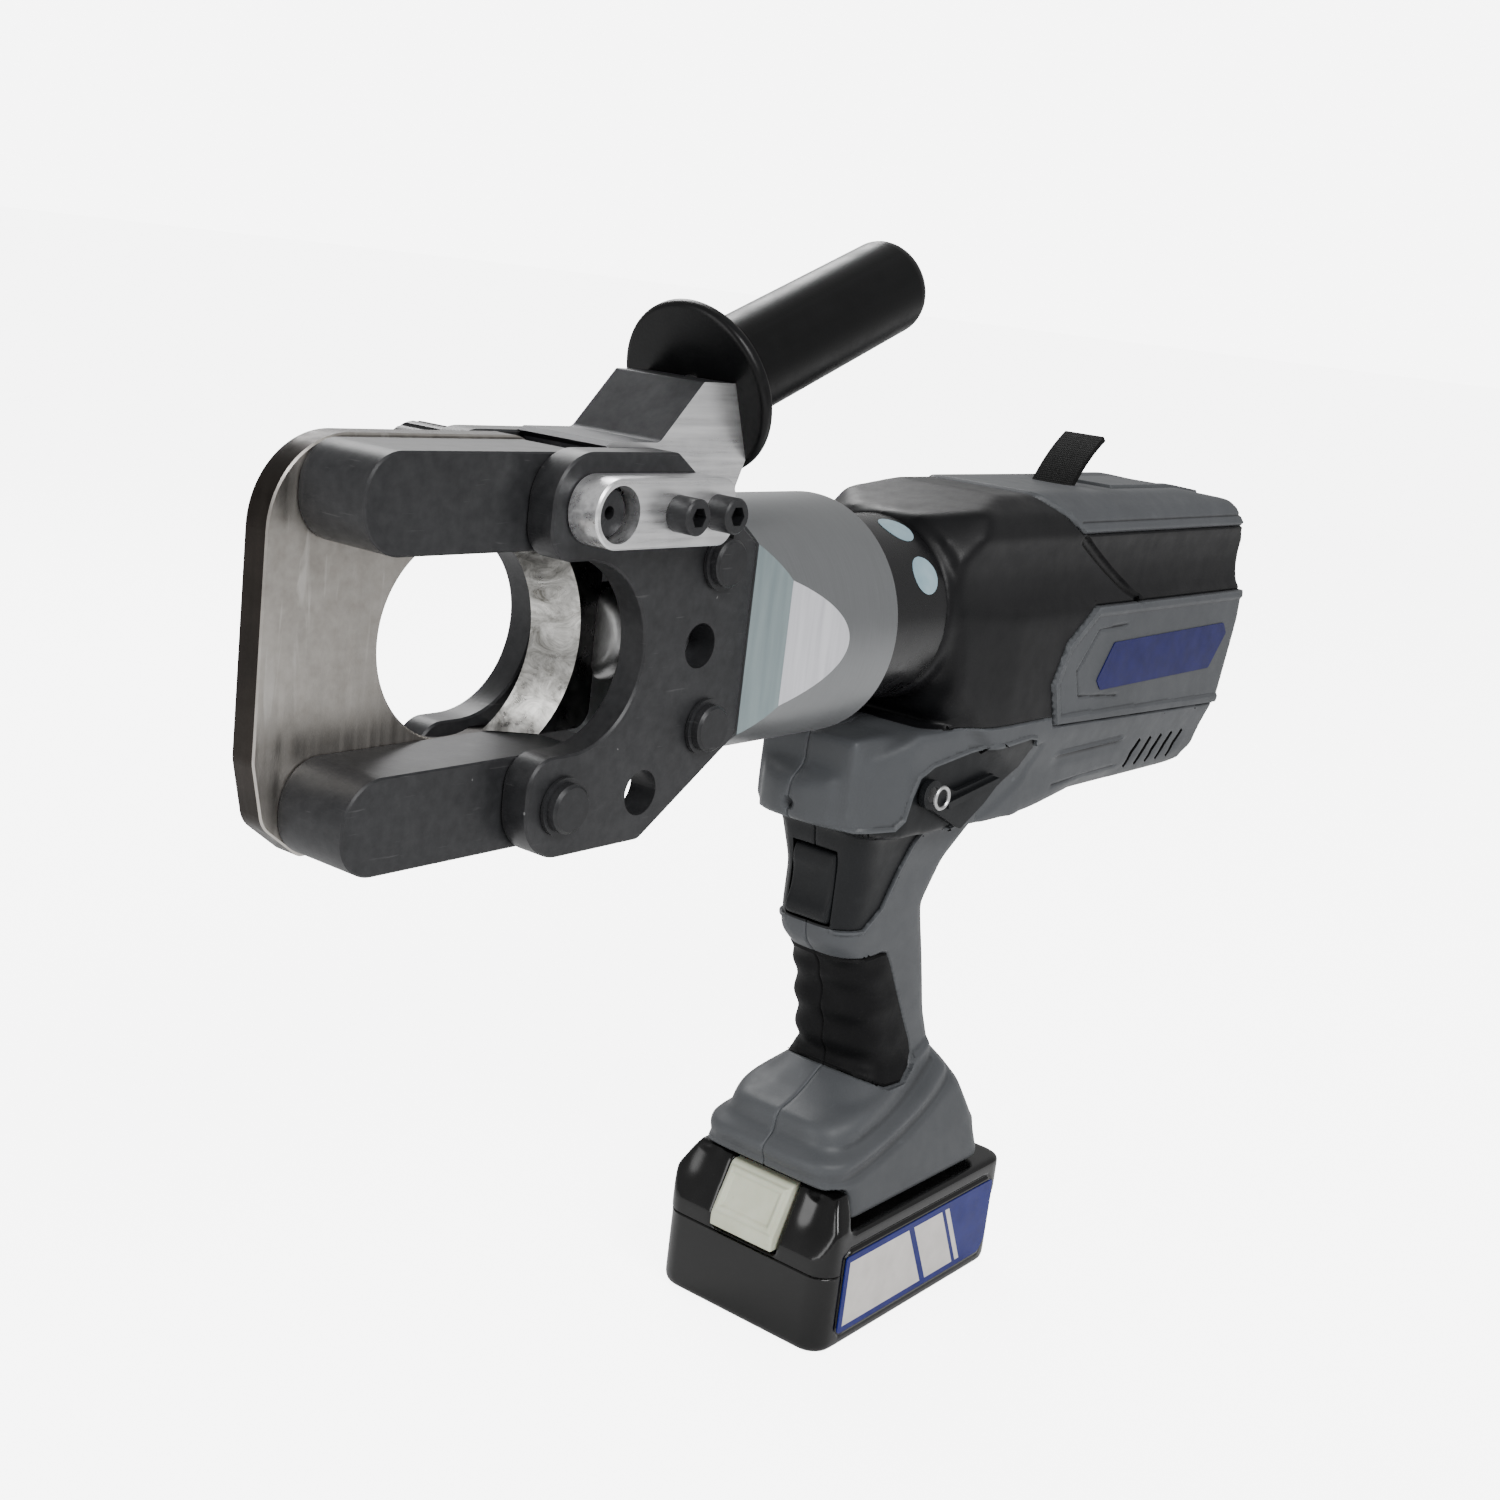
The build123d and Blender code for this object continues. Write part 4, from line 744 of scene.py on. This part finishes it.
def score_housing(bm):
    """Cut lines where ridges, grooves and seams have their corners."""
    score(bm, PANEL, (-0.9, 0, 0.9, 3.2, 4.4))
    score(bm, COVER, (-0.9, 0, 1.0))
    score(bm, INLAY_SHAPE, (-1.9, -1.1, -0.35, 0, 0.5))
    score(bm, PAD, (-0.8, 0, 0.8))
    score(bm, COWL_SEAM, (-0.8, 0, 0.8), closed=False)
    score(bm, CHANNEL, (-2.2, -1.0, 0, 1.0, 2.2), closed=False)
    score(bm, INNER_LINE, (-0.8, 0, 0.8), closed=False)
    score(bm, SHELF, (-1.6, 0, 1.2), closed=False)
    score(bm, SHELF_LOW, (-1.2, 0, 1.2), closed=False)
    tray = faces_near(bm, lambda x, y, z: z > TRAY_FLOOR and x > 60)
    for x in TRAY_X:
        for edge in (x - 0.8, x, x + 0.8):
            tray = slice_faces(bm, tray, (edge, 0, 0), Vector((1, 0, 0)))
    for y in (-TRAY_Y - 0.8, -TRAY_Y, -TRAY_Y + 0.8, TRAY_Y - 0.8, TRAY_Y, TRAY_Y + 0.8):
        tray = slice_faces(bm, tray, (0, y, 0), Vector((0, 1, 0)))
    score(bm, COVER_LINE, (-0.8, 0, 0.8), closed=False)
    front = faces_near(bm, lambda x, y, z: x < -20 and abs(y) < 13 and -116 < z < -80)
    for y in (-TRIGGER_HALF_Y, TRIGGER_HALF_Y):
        front = slice_faces(bm, front, (0, y, 0), Vector((0, 1, 0)))
    for z in (TRIGGER_HIGH, TRIGGER_LOW):
        front = slice_faces(bm, front, (0, 0, z), Vector((0, 0, 1)))
    middle = faces_near(bm, lambda x, y, z: abs(y) < 3)
    for y in (-0.6, 0.0, 0.6):
        middle = slice_faces(bm, middle, (0, y, 0), Vector((0, 1, 0)))
    along = Vector((math.sin(VENT_LEAN), 0, math.cos(VENT_LEAN)))
    across = Vector((math.cos(VENT_LEAN), 0, -math.sin(VENT_LEAN)))
    for x in VENT_X:
        vent = faces_near(
            bm, lambda a, y, z: abs(a - x) < 8 and abs(z - VENT_Z) < 10 and abs(y) > VENT_Y
        )
        for direction, half in ((across, VENT_HALF_WIDTH), (along, VENT_HALF_LENGTH)):
            for sign in (-1, 1):
                place = Vector((x, 0, VENT_Z)) + direction * half * sign
                vent = slice_faces(bm, vent, place, direction)


def shape_housing(bm):
    """Push the skin out and in along its normals."""
    bm.normal_update()
    bm.verts.ensure_lookup_table()
    place = np.array([vertex.co for vertex in bm.verts]) / MM
    normal = np.array([vertex.normal for vertex in bm.verts])
    x, y, z = place[:, 0], place[:, 1], place[:, 2] - AXIS_Z
    height = body_relief(x, y, z, normal) + grip_relief(x, y, z, normal)
    place += normal * height[:, None]
    for vertex, spot in zip(bm.verts, place):
        vertex.co = Vector(spot) * MM


def body_relief(x, y, z, normal):
    """Heights of the panel rims, lips, seams and grooves on the body."""
    side = wave(np.abs(normal[:, 1]), 0.25, 0.6)
    panel = depth_inside(PANEL, x, z, mitred=True)
    height = side * np.interp(panel, [-0.9, 0, 0.9, 3.2, 4.4], [0, -0.7, 1.2, 1.2, 0.35])
    cover = depth_inside(COVER, x, z, mitred=True)
    height += np.interp(cover, [-0.9, 0, 1.0, 4.0], [0, -0.8, 0.8, 0.8])

    inlay = depth_inside(INLAY_SHAPE, x, z)
    lip = np.interp(inlay, [-1.9, -1.1, -0.35, 0, 0.5], [0, 0.7, 0.7, -0.5, -0.5])
    swept = (x > 8) & (z < -49.5) & (y < 0) & (inlay < 0)  # the release lever turns over this
    height += side * np.where(swept, -0.7 * wave(inlay, -8.0, -5.0), lip)

    cowl = depth_inside(COWL, x, z)
    outside = (panel < -1.5) & (np.abs(y) > 10)
    height += outside * side * np.interp(np.abs(cowl), [0, 0.8], [-0.7, 0])
    split = (cowl < -1) & (z < -40)
    height += split * np.interp(np.abs(y), [0, 0.6], [-0.35, 0])

    height += side * np.interp(path_distance(CHANNEL, x, z), [0, 1.0, 2.2], [-1.8, -1.5, 0])
    height += side * np.interp(path_distance(INNER_LINE, x, z), [0, 0.8], [-0.55, 0])
    shelf = path_distance(SHELF, x, z) * np.where(z > SHELF_MIDDLE, 1, -1)
    fade = wave(x, 54, 62) * (1 - wave(x, 106, 114))
    height += side * fade * np.interp(shelf, [-6.0, -1.6, 0, 1.2], [0, -0.9, 0.9, 0])
    height += side * np.interp(path_distance(SHELF_LOW, x, z), [0, 1.2], [-0.6, 0])
    height += side * np.interp(path_distance(COVER_LINE, x, z), [0, 0.8], [-0.6, 0])

    tray = np.minimum(np.minimum(x - TRAY_X[0], TRAY_X[1] - x), TRAY_Y - np.abs(y))
    tray_relief = np.interp(tray, [-0.8, 0, 0.8, 4.0, 5.2], [0, -0.5, 1.1, 1.1, 0.3])
    height += (z > TRAY_FLOOR) * tray_relief
    dimple = np.hypot(np.hypot(x - NOSE_HOLE[0], y - NOSE_HOLE[1]), z - NOSE_HOLE[2])
    return height - 2.2 * (1 - wave(dimple, 1.2, 2.4))


def grip_relief(x, y, z, normal):
    """Heights of the grip pad, its finger ribs, the foot's folds and the patch behind the grip."""
    pad = depth_inside(PAD, x, z)
    height = np.interp(pad, [-0.8, 0, 0.8, 3.0], [0, -0.6, 0.5, 0.7])
    front = wave(-normal[:, 0], -0.35, 0.75)
    inside_pad = wave(pad, 0.0, 5.0)
    for centre in RIBS:
        height += 1.5 * inside_pad * front * hump(z, centre, 6.6)

    rise = np.clip(x + 45, 0, 80)
    sweep = z - 0.10 * rise - 0.0022 * rise * rise  # the folds climb towards the back
    foot = (z < -166) & (z > -214) & (pad < -1)
    rounding = wave(-normal[:, 0] + np.abs(normal[:, 1]), 0.2, 0.7)
    for centre, half, amount in FOOT_FOLDS:
        height += foot * rounding * amount * hump(sweep, centre, half)
    height += foot * 2.0 * hump(x, -50, 12) * hump(z, -187, 8)

    patch = np.minimum(np.minimum(z + 112, -92 - z), 7 - np.abs(y))
    behind = (normal[:, 0] > 0.6) & (z < -85)
    return height + behind * np.interp(patch, [-0.8, 0, 0.8], [0, -0.4, 0.7])


def is_hole(x, y, z, out):
    """Whether the skin is open at a point whose outward direction is out."""
    collar = math.hypot(y, z) < 30.0 and x < -25 and out.x < -0.5
    trigger_window = abs(y) < TRIGGER_HALF_Y and TRIGGER_LOW < z < TRIGGER_HIGH and x < -30
    bay = z < -215.2 and out.z < -0.7
    bay_front = z < -203.5 and x < -41.0 and abs(y) < 32 and out.z < -0.7
    if collar or trigger_window or bay or bay_front:
        return True
    for vent in VENT_X:
        dx, dz = x - vent, z - VENT_Z
        across = dx * math.cos(VENT_LEAN) - dz * math.sin(VENT_LEAN)
        along = dx * math.sin(VENT_LEAN) + dz * math.cos(VENT_LEAN)
        if abs(across) < VENT_HALF_WIDTH and abs(along) < VENT_HALF_LENGTH and abs(y) > VENT_Y:
            return True
    return False


def walled_piece(skin, stray, node, thickness):
    """The object left of a skin without its stray faces, with a wall inwards."""
    bmesh.ops.delete(skin, geom=stray, context="FACES")
    bmesh.ops.triangulate(skin, faces=[face for face in skin.faces if len(face.verts) > 4])
    thing = new_object("moulded_" + node, skin)
    wall = thing.modifiers.new("wall", "SOLIDIFY")
    wall.thickness = thickness * MM
    wall.offset = -1
    return thing


def housing():
    """Cut the skin into pieces; their wall rims and insides get a near-black material, painted shade
    that makes seams and vents read dark.
    """
    bm = housing_skin()
    score_housing(bm)
    layer = bm.faces.layers.int.new("part")
    faces = list(bm.faces)
    centres = np.array([face.calc_center_median() for face in faces]) / MM
    centres[:, 2] -= AXIS_Z
    x, y, z = centres.T
    region = np.full(len(faces), "shell", object)
    region[depth_inside(COWL, x, z) > 0] = "cowl"
    region[depth_inside(PAD, x, z) > 0] = "pad"
    region[depth_inside(INLAY_SHAPE, x, z) > 0] = "inlay"
    region[depth_inside(PANEL, x, z, mitred=True) > 0] = "panel"
    region[depth_inside(COVER, x, z, mitred=True) > 0] = "cover"
    bm.normal_update()
    order = []
    for face, kind, spot in zip(faces, region, centres):
        if is_hole(*spot, face.normal):
            face[layer] = -1
            continue
        node = REGION_NODES[kind][0 if spot[1] < 0 else 1]
        if node not in order:
            order.append(node)
        face[layer] = order.index(node)
    shape_housing(bm)
    for index, node in enumerate(order):
        piece = bm.copy()
        part = piece.faces.layers.int["part"]
        stray = [face for face in piece.faces if face[part] != index]
        thing = walled_piece(piece, stray, node, HOUSING_WALL)
        wall = thing.modifiers["wall"]
        # painted shade on the wall's rim and inner face
        wall.material_offset = 1
        wall.material_offset_rim = 1
        thing.data.materials.append(MATERIAL_OF[node])
        thing.data.materials.append(SEAM_SHADE)
        finish_piece(thing, "motor_unit", node)
    bm.free()


def shade(thing, angle):
    """Smooth shading with creases where faces meet at more than an angle, in degrees."""
    for face in thing.data.polygons:
        face.use_smooth = True
    thing.data.set_sharp_from_angle(angle=math.radians(angle))


def finish_piece(thing, body, node, angle=38):
    """Shade a piece, put it in place of its CAD node and let it ride on a body."""
    shade(thing, angle)
    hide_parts(node)
    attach(thing, body)


def battery():
    """Battery case from its CAD halves: raised side fields, a parting line and front scoops."""
    bm = bmesh.new()
    for name in ("battery_lower_case", "battery_upper_case"):
        bm.from_mesh(frame["nodes"][name].data)
    back = [(-51.0, 31.2), (-51.0, 32.5), (-43.8, 43.6), (-42.0, 43.6), (-42.0, 31.2)]
    add_hull(bm, [(x, y, z - AXIS_Z) for x, z in back for y in (-14.6, 14.6)])
    skin = wrap(bm, *BATTERY_WRAP)
    score(skin, SIDE_FIELD, (-0.9, 0, 1.0))
    split = faces_near(skin, lambda x, y, z: abs(z + AXIS_Z - SPLIT_Z) < 3)
    for z in (SPLIT_Z - 0.5, SPLIT_Z, SPLIT_Z + 0.5):
        split = slice_faces(skin, split, (0, 0, z - AXIS_Z), Vector((0, 0, 1)))
    skin.normal_update()
    spots = np.array([vertex.co for vertex in skin.verts]) / MM
    normal = np.array([vertex.normal for vertex in skin.verts])
    x, y, z = spots[:, 0], spots[:, 1], spots[:, 2]
    side = wave(np.abs(normal[:, 1]), 0.5, 0.8)
    field = depth_inside(SIDE_FIELD, x, z - AXIS_Z)
    height = side * np.interp(field, [-0.9, 0, 1.0], [0, -0.4, 0.7])
    height += (np.abs(field) > 2) * np.interp(np.abs(z - SPLIT_Z), [0, 0.5], [-0.45, 0])
    scoop = hump(x, -52, 12) * hump(np.abs(y), 25.5, 8) * wave(z, 40, 47) * (z < 60)
    height -= 1.6 * scoop * wave(normal[:, 2], 0.2, 0.6)
    spots += normal * height[:, None]
    for vertex, spot in zip(skin.verts, spots):
        vertex.co = Vector(spot) * MM
    for node, keeps_upper in (("battery_lower_case", False), ("battery_upper_case", True)):
        half = skin.copy()
        stray = [f for f in half.faces if (f.calc_center_median().z / MM > SPLIT_Z) != keeps_upper]
        case = walled_piece(half, stray, node, BATTERY_WALL)
        case.data.materials.append(GLOSS)
        finish_piece(case, "battery", node)
    skin.free()


def button():
    """Battery release button: softened edges and a step above its lower lip."""
    bm = bmesh.new()
    bm.from_mesh(frame["nodes"]["battery_button"].data)
    skin = wrap(bm, *BUTTON_WRAP)
    skin.normal_update()
    for vertex in skin.verts:
        x, y, z = vertex.co / MM
        if vertex.normal.x < -0.3:
            depth = min(z - 38.6, 54.6 - z, 13.2 - abs(y))
            step = float(np.interp(depth, [0, 0.8, 2.0, 2.8], [0, 1.2, 1.2, 0.3]))
            vertex.co += vertex.normal * step * MM
    thing = new_object("moulded_battery_button", skin)
    thing.data.materials.append(CREAM)
    finish_piece(thing, "battery_latch", "battery_button", angle=60)


def trigger():
    """Trigger paddle with soft moulded edges."""
    bm = bmesh.new()
    bm.from_mesh(frame["nodes"]["trigger"].data)
    thing = new_object("moulded_trigger", wrap(bm, *TRIGGER_WRAP))
    thing.data.materials.append(INLAY)
    finish_piece(thing, "trigger_paddle", "trigger", angle=60)


def side_film(name, points, y, thickness, material, body, corner=1.0):
    """A thin printed film on a flat left side, from its side outline, with rounded corners."""
    bm = bmesh.new()
    corners = [bm.verts.new((x * MM, y * MM, (z + AXIS_Z) * MM)) for x, z in points]
    bm.faces.new(corners)
    bmesh.ops.bevel(
        bm, geom=corners, offset=corner * MM, segments=5, affect="VERTICES", profile=0.5
    )
    if bm.faces[:][0].normal.y > 0:
        bmesh.ops.reverse_faces(bm, faces=bm.faces)
    bm.normal_update()
    moved = bmesh.ops.extrude_face_region(bm, geom=bm.faces[:])
    lifted = [item for item in moved["geom"] if isinstance(item, bmesh.types.BMVert)]
    bmesh.ops.translate(bm, verts=lifted, vec=(0, -thickness * MM, 0))
    bmesh.ops.recalc_face_normals(bm, faces=bm.faces)
    thing = new_object(name, bm)
    thing.data.materials.append(material)
    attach(thing, body)


def round_film(name, angle, x, radius):
    """A thin round film wrapped on the collar; angle counts up from the left side."""
    bm = bmesh.new()
    levels = []
    rings, steps = 6, 48
    for lift in (0.02, 0.16):
        hub = None
        level = []
        for ring in range(rings + 1):
            row = []
            for step in range(steps):
                turn = 2 * math.pi * step / steps
                across = radius * ring / rings
                around = math.radians(angle) + across * math.sin(turn) / COLLAR_R
                reach = COLLAR_R + lift
                y = -reach * math.cos(around)
                z = AXIS_Z + reach * math.sin(around)
                spot = Vector((x + across * math.cos(turn), y, z)) * MM
                if ring == 0:
                    hub = hub or bm.verts.new(spot)
                    row.append(hub)
                else:
                    row.append(bm.verts.new(spot))
            level.append(row)
        levels.append(level)
    for level in levels:
        for inner, outer in zip(level, level[1:]):
            for step in range(steps):
                ahead = (step + 1) % steps
                corners = [inner[step], outer[step], outer[ahead], inner[ahead]]
                if inner[step] is inner[ahead]:
                    corners.pop()
                bm.faces.new(corners)
    low, high = levels[0][-1], levels[1][-1]
    for step in range(steps):
        ahead = (step + 1) % steps
        bm.faces.new((low[step], low[ahead], high[ahead], high[step]))
    bmesh.ops.recalc_face_normals(bm, faces=bm.faces)
    thing = new_object(name, bm)
    thing.data.materials.append(PALE_FILM)
    shade(thing, 40)
    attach(thing, "motor_unit")


def lever_ring():
    """The light ring pressed round the release lever's shaft."""
    bm = bmesh.new()
    profile = [(3.1, 0.0), (3.1, 0.5), (3.5, 0.9), (4.1, 0.9), (4.4, 0.5), (4.4, 0.0)]
    steps = 48
    rows = []
    for step in range(steps):
        turn = 2 * math.pi * step / steps
        ring = [Vector((r * math.cos(turn), -d, r * math.sin(turn))) * MM for r, d in profile]
        rows.append([bm.verts.new(spot) for spot in ring])
    for step in range(steps):
        one, two = rows[step], rows[(step + 1) % steps]
        for index in range(len(profile)):
            ahead = (index + 1) % len(profile)
            bm.faces.new((one[index], one[ahead], two[ahead], two[index]))
    bmesh.ops.recalc_face_normals(bm, faces=bm.faces)
    joint = next(joint for joint in frame["joints"] if joint["name"] == "release_turn")
    axis = Vector(joint["axis"])
    tilt = Vector((0, 1, 0)).rotation_difference(axis).to_matrix().to_4x4()
    lever_low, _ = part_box("release_lever")
    place = Vector(joint["pos_m"])
    place += axis * ((lever_low.y + 0.12 * MM - place.y) / axis.y)
    thing = new_object("release_ring", bm)
    thing.data.transform(Matrix.Translation(place) @ tilt)
    thing.data.materials.append(LIGHT_RING)
    shade(thing, 30)
    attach(thing, "release")


housing()
battery()
button()
trigger()
side_film("body_film", BODY_STICKER, -36.3, 0.45, BLUE_FILM, "motor_unit", 0.8)
side_film("battery_film", LABEL_SHAPE, -38.1, 0.5, LABEL, "battery", 1.5)
round_film("collar_film_low", 30, -42, DISC_R)
round_film("collar_film_high", 66, -41, DISC_R)
lever_ring()

# ---------------------------------------------------------------- room, lights, camera


def area_light(name, place, size, watts):
    """A soft box that looks at the tool."""
    data = bpy.data.lights.new(name, "AREA")
    data.shape = "RECTANGLE"
    data.size, data.size_y = size
    data.energy = watts
    light = bpy.data.objects.new(name, data)
    bpy.context.scene.collection.objects.link(light)
    light.location = place
    look = Vector(TOOL_MIDDLE) - Vector(place)
    light.rotation_euler = look.to_track_quat("-Z", "Y").to_euler()


def backdrop_level(tree, room_light, backdrop):
    """The level the camera sees on the bare backdrop, or the softer one that lights the tool."""
    path = tree.nodes.new("ShaderNodeLightPath")
    spread = tree.nodes.new("ShaderNodeMapRange")
    spread.inputs["To Min"].default_value = room_light
    spread.inputs["To Max"].default_value = backdrop
    tree.links.new(path.outputs["Is Camera Ray"], spread.inputs["Value"])
    return spread.outputs[0]


def floor():
    """A large flat pale floor that the tool stands on."""
    mesh = bpy.data.meshes.new("floor")
    corners = [(x * FLOOR_HALF, y * FLOOR_HALF, 0) for x, y in ((-1, -1), (1, -1), (1, 1), (-1, 1))]
    mesh.from_pydata(corners, [], [(0, 1, 2, 3)])
    thing = bpy.data.objects.new("floor", mesh)
    bpy.context.scene.collection.objects.link(thing)
    s = Shader("floor_paint")
    base = s.ramp(s.noise(6, 4), 0.93, 0.95)
    s.constant("Specular IOR Level", 0.0)
    s.constant("Emission Color", (1, 1, 1, 1))
    glow = backdrop_level(s.tree, 0.0, BACKDROP - FLOOR_LIT)
    s.join(glow, s.bsdf.inputs["Emission Strength"])
    mesh.materials.append(s.finish(base, 0.9))


def room():
    """The floor, the white surroundings and the soft boxes."""
    floor()
    world = bpy.data.worlds.new("studio")
    world.use_nodes = True
    tree = world.node_tree
    background = tree.nodes["Background"]
    background.inputs["Color"].default_value = (1, 1, 1, 1)
    tree.links.new(backdrop_level(tree, ROOM_LIGHT, BACKDROP), background.inputs["Strength"])
    bpy.context.scene.world = world
    for box in SOFT_BOXES:
        area_light(*box)


def camera():
    """The scene's camera, at the front left of the tool."""
    data = bpy.data.cameras.new("camera")
    data.sensor_width = CAMERA_SENSOR
    data.lens = CAMERA_LENS
    data.clip_start = 0.01
    eye = bpy.data.objects.new("camera", data)
    bpy.context.scene.collection.objects.link(eye)
    eye.location = CAMERA_PLACE
    eye.rotation_euler = [math.radians(angle) for angle in CAMERA_TURN]
    bpy.context.scene.camera = eye


room()
camera()
